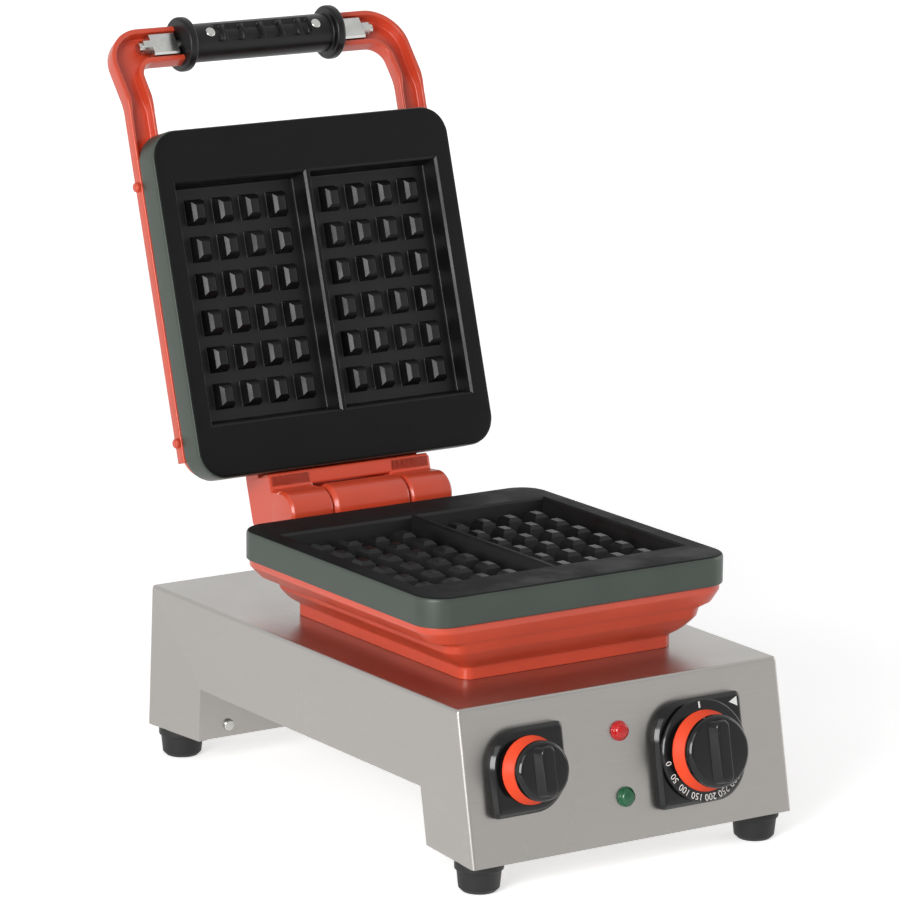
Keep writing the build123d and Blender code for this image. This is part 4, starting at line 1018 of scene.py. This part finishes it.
def knob_surface(radius, seat):
    """Turned cap with a flared shoulder, and a wing across it that tapers upwards with eased edges."""
    foot, cap, rim = radius - RING_WIDTH, radius - RING_FLARE, radius - KNOB_IN
    low = seat + RING_HEIGHT
    high = low + KNOB_HEIGHT
    profile = [(0, seat), (foot, seat), (foot, low), (cap, low), (rim, low + 4), (rim, high - 2),
               (rim - 2, high), (0, high)]
    shell = lathe(rounded(profile, [0, 0.3, 0.2, 0.6, 2.5, 2.5, 2.5, 0], 6), 96)
    long, top = rim - 3, high + WING_HEIGHT
    rows = rounded([(8.0, long, 4.0, high - 1), (8.0, long, 4.0, high), (4.5, long - 1, 4.0, top),
                    (1.0, long - 5, 0.8, top)], [0, 1.2, 1.8, 0], 6)
    wing = loft([stacked(corner_outline(wide, deep, corner), 0, 0, z) for wide, deep, corner, z in rows])
    return merged(shell, wing)


class WAFFLE_OT_knobs(bpy.types.Operator):
    """Make both bezels, knobs and knob rings"""

    bl_idname = "waffle.knobs"
    bl_label = "Bezels, knobs and rings"

    def execute(self, context):
        black, orange = ["glossy_black"], ["ring_orange"]
        for name, place in (("timer", TIMER), ("thermostat", THERMOSTAT)):
            x, z, body = place["x"], place["z"], name + "_control"
            bezel = on_panel(bezel_surface(place["wide"], place["high"]), x, z)
            add_piece("leaf_bezel_" + name, bezel, black, "base", [name + "_bezel"], 40.0)
            ring = on_panel(ring_surface(place["ring"], place["seat"]), x, z)
            add_piece("flared_ring_" + name, ring, orange, body, [name + "_ring"], 40.0)
            knob = on_panel(knob_surface(place["ring"], place["seat"]), x, z)
            add_piece("winged_knob_" + name, knob, black, body, [name + "_knob"], 50.0)
        return {"FINISHED"}


def text_surface(words, size):
    """Flat lettering as points and faces, centred on its own middle."""
    curve = bpy.data.curves.new("number", "FONT")
    curve.body = words
    curve.size = size
    curve.align_x, curve.align_y = "CENTER", "CENTER"
    lettering = new_object("number", curve)
    bpy.context.view_layer.update()
    graph = bpy.context.evaluated_depsgraph_get()
    mesh = bpy.data.meshes.new_from_object(lettering.evaluated_get(graph))
    points = np.empty(len(mesh.vertices) * 3)
    mesh.vertices.foreach_get("co", points)
    faces = [list(polygon.vertices) for polygon in mesh.polygons]
    bpy.data.objects.remove(lettering)
    bpy.data.meshes.remove(mesh)
    bpy.data.curves.remove(curve)
    return points.reshape(-1, 3), faces


def ring_place(surface, angle, radius, z):
    """Flat surface moved out to a radius at an angle, its top pointing away from the middle."""
    points, faces = surface
    turn = angle - math.pi / 2
    cosine, sine = math.cos(turn), math.sin(turn)
    x, y = points[:, 0], points[:, 1] + radius
    return np.column_stack([cosine * x - sine * y, sine * x + cosine * y, np.full(len(x), z)]), faces


def flat_mark(wide, high):
    """Small flat bar centred on its own middle."""
    half_x, half_y = wide / 2, high / 2
    corners = [(-half_x, -half_y, 0), (half_x, -half_y, 0), (half_x, half_y, 0), (-half_x, half_y, 0)]
    return np.asarray(corners, float), [[0, 1, 2, 3]]


class WAFFLE_OT_dial(bpy.types.Operator):
    """Make the thermostat's numbered dial and the white index on its bezel"""

    bl_idname = "waffle.dial"
    bl_label = "Dial and index"

    def execute(self, context):
        size = settings()[1].number_size / MM
        x, z = THERMOSTAT["x"], THERMOSTAT["z"]
        top = DIAL_SEAT + DIAL_THICK
        profile = [(0, DIAL_SEAT), (DIAL_RADIUS, DIAL_SEAT), (DIAL_RADIUS, top - 1), (DIAL_RADIUS - 1, top),
                   (0, top)]
        disc = on_panel(lathe(rounded(profile, [0, 0.3, 0.6, 0.6, 0], 3), 128), x, z)
        add_piece("dial_disc", disc, ["glossy_black"], "thermostat_control", ["thermostat_dial"],
                  40.0)
        marks = []
        for k, words in enumerate(DIAL_NUMBERS):
            angle = math.radians(FIRST_NUMBER + NUMBER_STEP * k)
            number = text_surface(words, size)
            marks.append(ring_place(number, angle, DIAL_RADIUS - NUMBER_IN, top + MARK_LIFT))
        zero = flat_mark(1.4, 4.2)
        marks.append(ring_place(zero, math.radians(ZERO_MARK), DIAL_RADIUS - ZERO_MARK_IN, top + MARK_LIFT))
        add_piece("dial_numbers", on_panel(merged(*marks), x, z), ["printed_white"], "thermostat_control")
        corners = np.array([[24.6, 28.2, 0], [31.2, 24.8, 0], [31.0, 31.2, 0]])
        index = (corners + [0, 0, BEZEL_HEIGHT + MARK_LIFT], [[0, 1, 2]])
        add_piece("bezel_index", on_panel(index, x, z), ["printed_white"], "base")
        return {"FINISHED"}


class WAFFLE_OT_lamps(bpy.types.Operator):
    """Make the two signal lamp lenses with their stepped domes"""

    bl_idname = "waffle.lamps"
    bl_label = "Signal lamps"

    def execute(self, context):
        profile = [(0, 0), (6.6, 0), (6.6, 1.4), (5.7, 1.6), (5.6, 3.0), (4.2, 5.0), (0, 5.4)]
        lens = lathe(rounded(profile, [0, 0.2, 0.5, 0.4, 1.5, 2.5, 0], 4), 48)
        for colour, (x, z) in LAMPS.items():
            add_piece("lamp_lens_" + colour, on_panel(lens, x, z), ["lens_" + colour], "base",
                      [colour + "_lamp_lens"], 40.0)
        return {"FINISHED"}


# Stage
def add_lamp(name, place, target, power, size):
    """Square area lamp that faces a target."""
    data = bpy.data.lights.new(name, "AREA")
    data.energy = power
    data.size = size
    away = np.subtract(place, target)
    back = away / np.linalg.norm(away)
    right = np.cross([0, 0, 1], back)
    right /= np.linalg.norm(right)
    new_object(name, data).matrix_world = frame_matrix(right, np.cross(back, right), back, place)


def seen_ray(tree):
    """One where the camera, a reflection or a see-through piece looks, and zero for light that only falls."""
    path = put(tree, "ShaderNodeLightPath").outputs
    either = put(tree, "ShaderNodeMath", [(path["Is Camera Ray"], 0), (path["Is Glossy Ray"], 1)],
                 operation="MAXIMUM")
    seen = put(tree, "ShaderNodeMath", [(either.outputs[0], 0), (path["Is Transmission Ray"], 1)],
               operation="MAXIMUM")
    return seen.outputs[0]


def view_back(stage):
    """Direction from the object to the camera."""
    level = math.cos(stage.elevation)
    return level * math.sin(stage.azimuth), -level * math.cos(stage.azimuth), math.sin(stage.elevation)


def frame_matrix(right, up, back, place):
    """Object matrix from three axes and a place."""
    columns = np.eye(4)
    columns[:3, 0], columns[:3, 1], columns[:3, 2], columns[:3, 3] = right, up, back, place
    return Matrix(columns.tolist())


class WAFFLE_OT_stage(bpy.types.Operator):
    """Make the camera, the floor, the lamps and the white surround"""

    bl_idname = "waffle.stage"
    bl_label = "Stage"

    def execute(self, context):
        stage = settings()[2]
        scene = bpy.context.scene
        scene.view_settings.view_transform = "Standard"
        self.add_camera(scene, stage)
        self.add_floor(stage)
        self.add_surround(scene, stage)
        for name, (place, target, size) in STUDIO_LAMPS.items():
            add_lamp(name + "_lamp", place, target, getattr(stage, name), size)
        return {"FINISHED"}

    def add_camera(self, scene, stage):
        """Camera fitted to the photograph's view: axes from azimuth, elevation and roll."""
        cosine, sine = math.cos(stage.roll), math.sin(stage.roll)
        level = np.array([math.cos(stage.azimuth), math.sin(stage.azimuth), 0])
        back = np.array(view_back(stage))
        upright = np.cross(back, level)
        right, up = cosine * level + sine * upright, cosine * upright - sine * level
        across, lift, away = CAMERA_SHIFT
        data = bpy.data.cameras.new("view_camera")
        data.lens = stage.lens
        data.sensor_width = SENSOR_WIDTH
        data.clip_end = CAMERA_REACH
        camera = new_object("view_camera", data)
        place = (CAMERA_TARGET + across * right + lift * up + away * back) * MM
        camera.matrix_world = frame_matrix(right, up, back, place)
        scene.camera = camera

    def add_floor(self, stage):
        """Wide flat floor at the feet, lifted towards white as it is seen."""
        mesh = bpy.data.meshes.new("floor")
        corners = [(x * FLOOR_REACH, y * FLOOR_REACH, 0) for x, y in ((-1, -1), (1, -1), (1, 1), (-1, 1))]
        mesh.from_pydata(corners, [], [(0, 1, 2, 3)])
        tree, shader, place = new_finish("pale_floor")
        set_values(shader, Base_Color=(*stage.floor, 1.0), Roughness=0.9, Specular_IOR_Level=0.0,
                   Emission_Color=WHITE)
        away = put(tree, "ShaderNodeVectorMath", [(place, 0)], operation="LENGTH")
        lift = put(tree, "ShaderNodeMapRange", [(away.outputs["Value"], "Value")], From_Min=FLOOR_NEAR,
                   From_Max=FLOOR_FAR, To_Min=stage.floor_lift, To_Max=stage.far_lift)
        seen = put(tree, "ShaderNodeMath", [(lift.outputs[0], 0), (seen_ray(tree), 1)], operation="MULTIPLY")
        tree.links.new(seen.outputs[0], shader.inputs["Emission Strength"])
        mesh.materials.append(bpy.data.materials["pale_floor"])
        floor = new_object("floor", mesh)

    def add_surround(self, scene, stage):
        """White world for the camera and reflections, and a softer one as a light."""
        world = bpy.data.worlds.new("white_surround")
        world.use_nodes = True
        tree = world.node_tree
        tree.nodes.clear()
        path = put(tree, "ShaderNodeLightPath")
        place = put(tree, "ShaderNodeTexCoord")
        towards = put(tree, "ShaderNodeVectorMath", [(place.outputs["Generated"], 0)],
                      operation="DOT_PRODUCT")
        towards.inputs[1].default_value = view_back(stage)
        shade = put(tree, "ShaderNodeMapRange", [(towards.outputs["Value"], "Value")],
                    interpolation_type="SMOOTHSTEP", From_Min=-0.2, From_Max=0.9, To_Min=1.0,
                    To_Max=stage.room)
        plain = put(tree, "ShaderNodeMath", [(shade.outputs[0], 0), (path.outputs["Is Camera Ray"], 1)],
                    operation="MAXIMUM")
        light = put(tree, "ShaderNodeMath", [(shade.outputs[0], 0)], operation="MULTIPLY")
        light.inputs[1].default_value = stage.sky
        strength = put(tree, "ShaderNodeMix",
                       [(seen_ray(tree), 0), (light.outputs[0], 2), (plain.outputs[0], 3)])
        background = put(tree, "ShaderNodeBackground", [(strength.outputs[0], "Strength")], Color=WHITE)
        put(tree, "ShaderNodeOutputWorld", [(background.outputs[0], "Surface")])
        scene.world = world


class WAFFLE_PT_panel(bpy.types.Panel):
    """Operators and settings of the waffle maker"""

    bl_idname = "WAFFLE_PT_panel"
    bl_label = "Waffle Maker"
    bl_space_type = "VIEW_3D"
    bl_region_type = "UI"
    bl_category = "Waffle Maker"

    def draw(self, context):
        for group in settings():
            box = self.layout.box()
            for name in group.__annotations__:
                box.prop(group, name)
        for operator in OPERATORS:
            self.layout.operator(operator.bl_idname)


GROUPS = {"waffle_finishes": WaffleFinishes, "waffle_shapes": WaffleShapes, "waffle_stage": WaffleStage}
OPERATORS = (
    WAFFLE_OT_finishes, WAFFLE_OT_frame_nodes, WAFFLE_OT_stage, WAFFLE_OT_plates, WAFFLE_OT_lower_casting,
    WAFFLE_OT_upper_casting, WAFFLE_OT_handle_arms, WAFFLE_OT_grip, WAFFLE_OT_feet, WAFFLE_OT_knobs,
    WAFFLE_OT_dial, WAFFLE_OT_lamps,
)


def register():
    """Registers the settings, the operators and the panel."""
    for group in GROUPS.values():
        bpy.utils.register_class(group)
    for name, group in GROUPS.items():
        setattr(bpy.types.Scene, name, PointerProperty(type=group))
    for operator in OPERATORS:
        bpy.utils.register_class(operator)
    bpy.utils.register_class(WAFFLE_PT_panel)


def unregister():
    """Takes everything that was registered away again."""
    bpy.utils.unregister_class(WAFFLE_PT_panel)
    for operator in reversed(OPERATORS):
        bpy.utils.unregister_class(operator)
    for name in GROUPS:
        delattr(bpy.types.Scene, name)
    for group in reversed(GROUPS.values()):
        bpy.utils.unregister_class(group)


def main():
    """Runs every operator in order."""
    register()
    for operator in OPERATORS:
        group, name = operator.bl_idname.split(".")
        getattr(getattr(bpy.ops, group), name)()


if __name__ == "__main__":
    main()
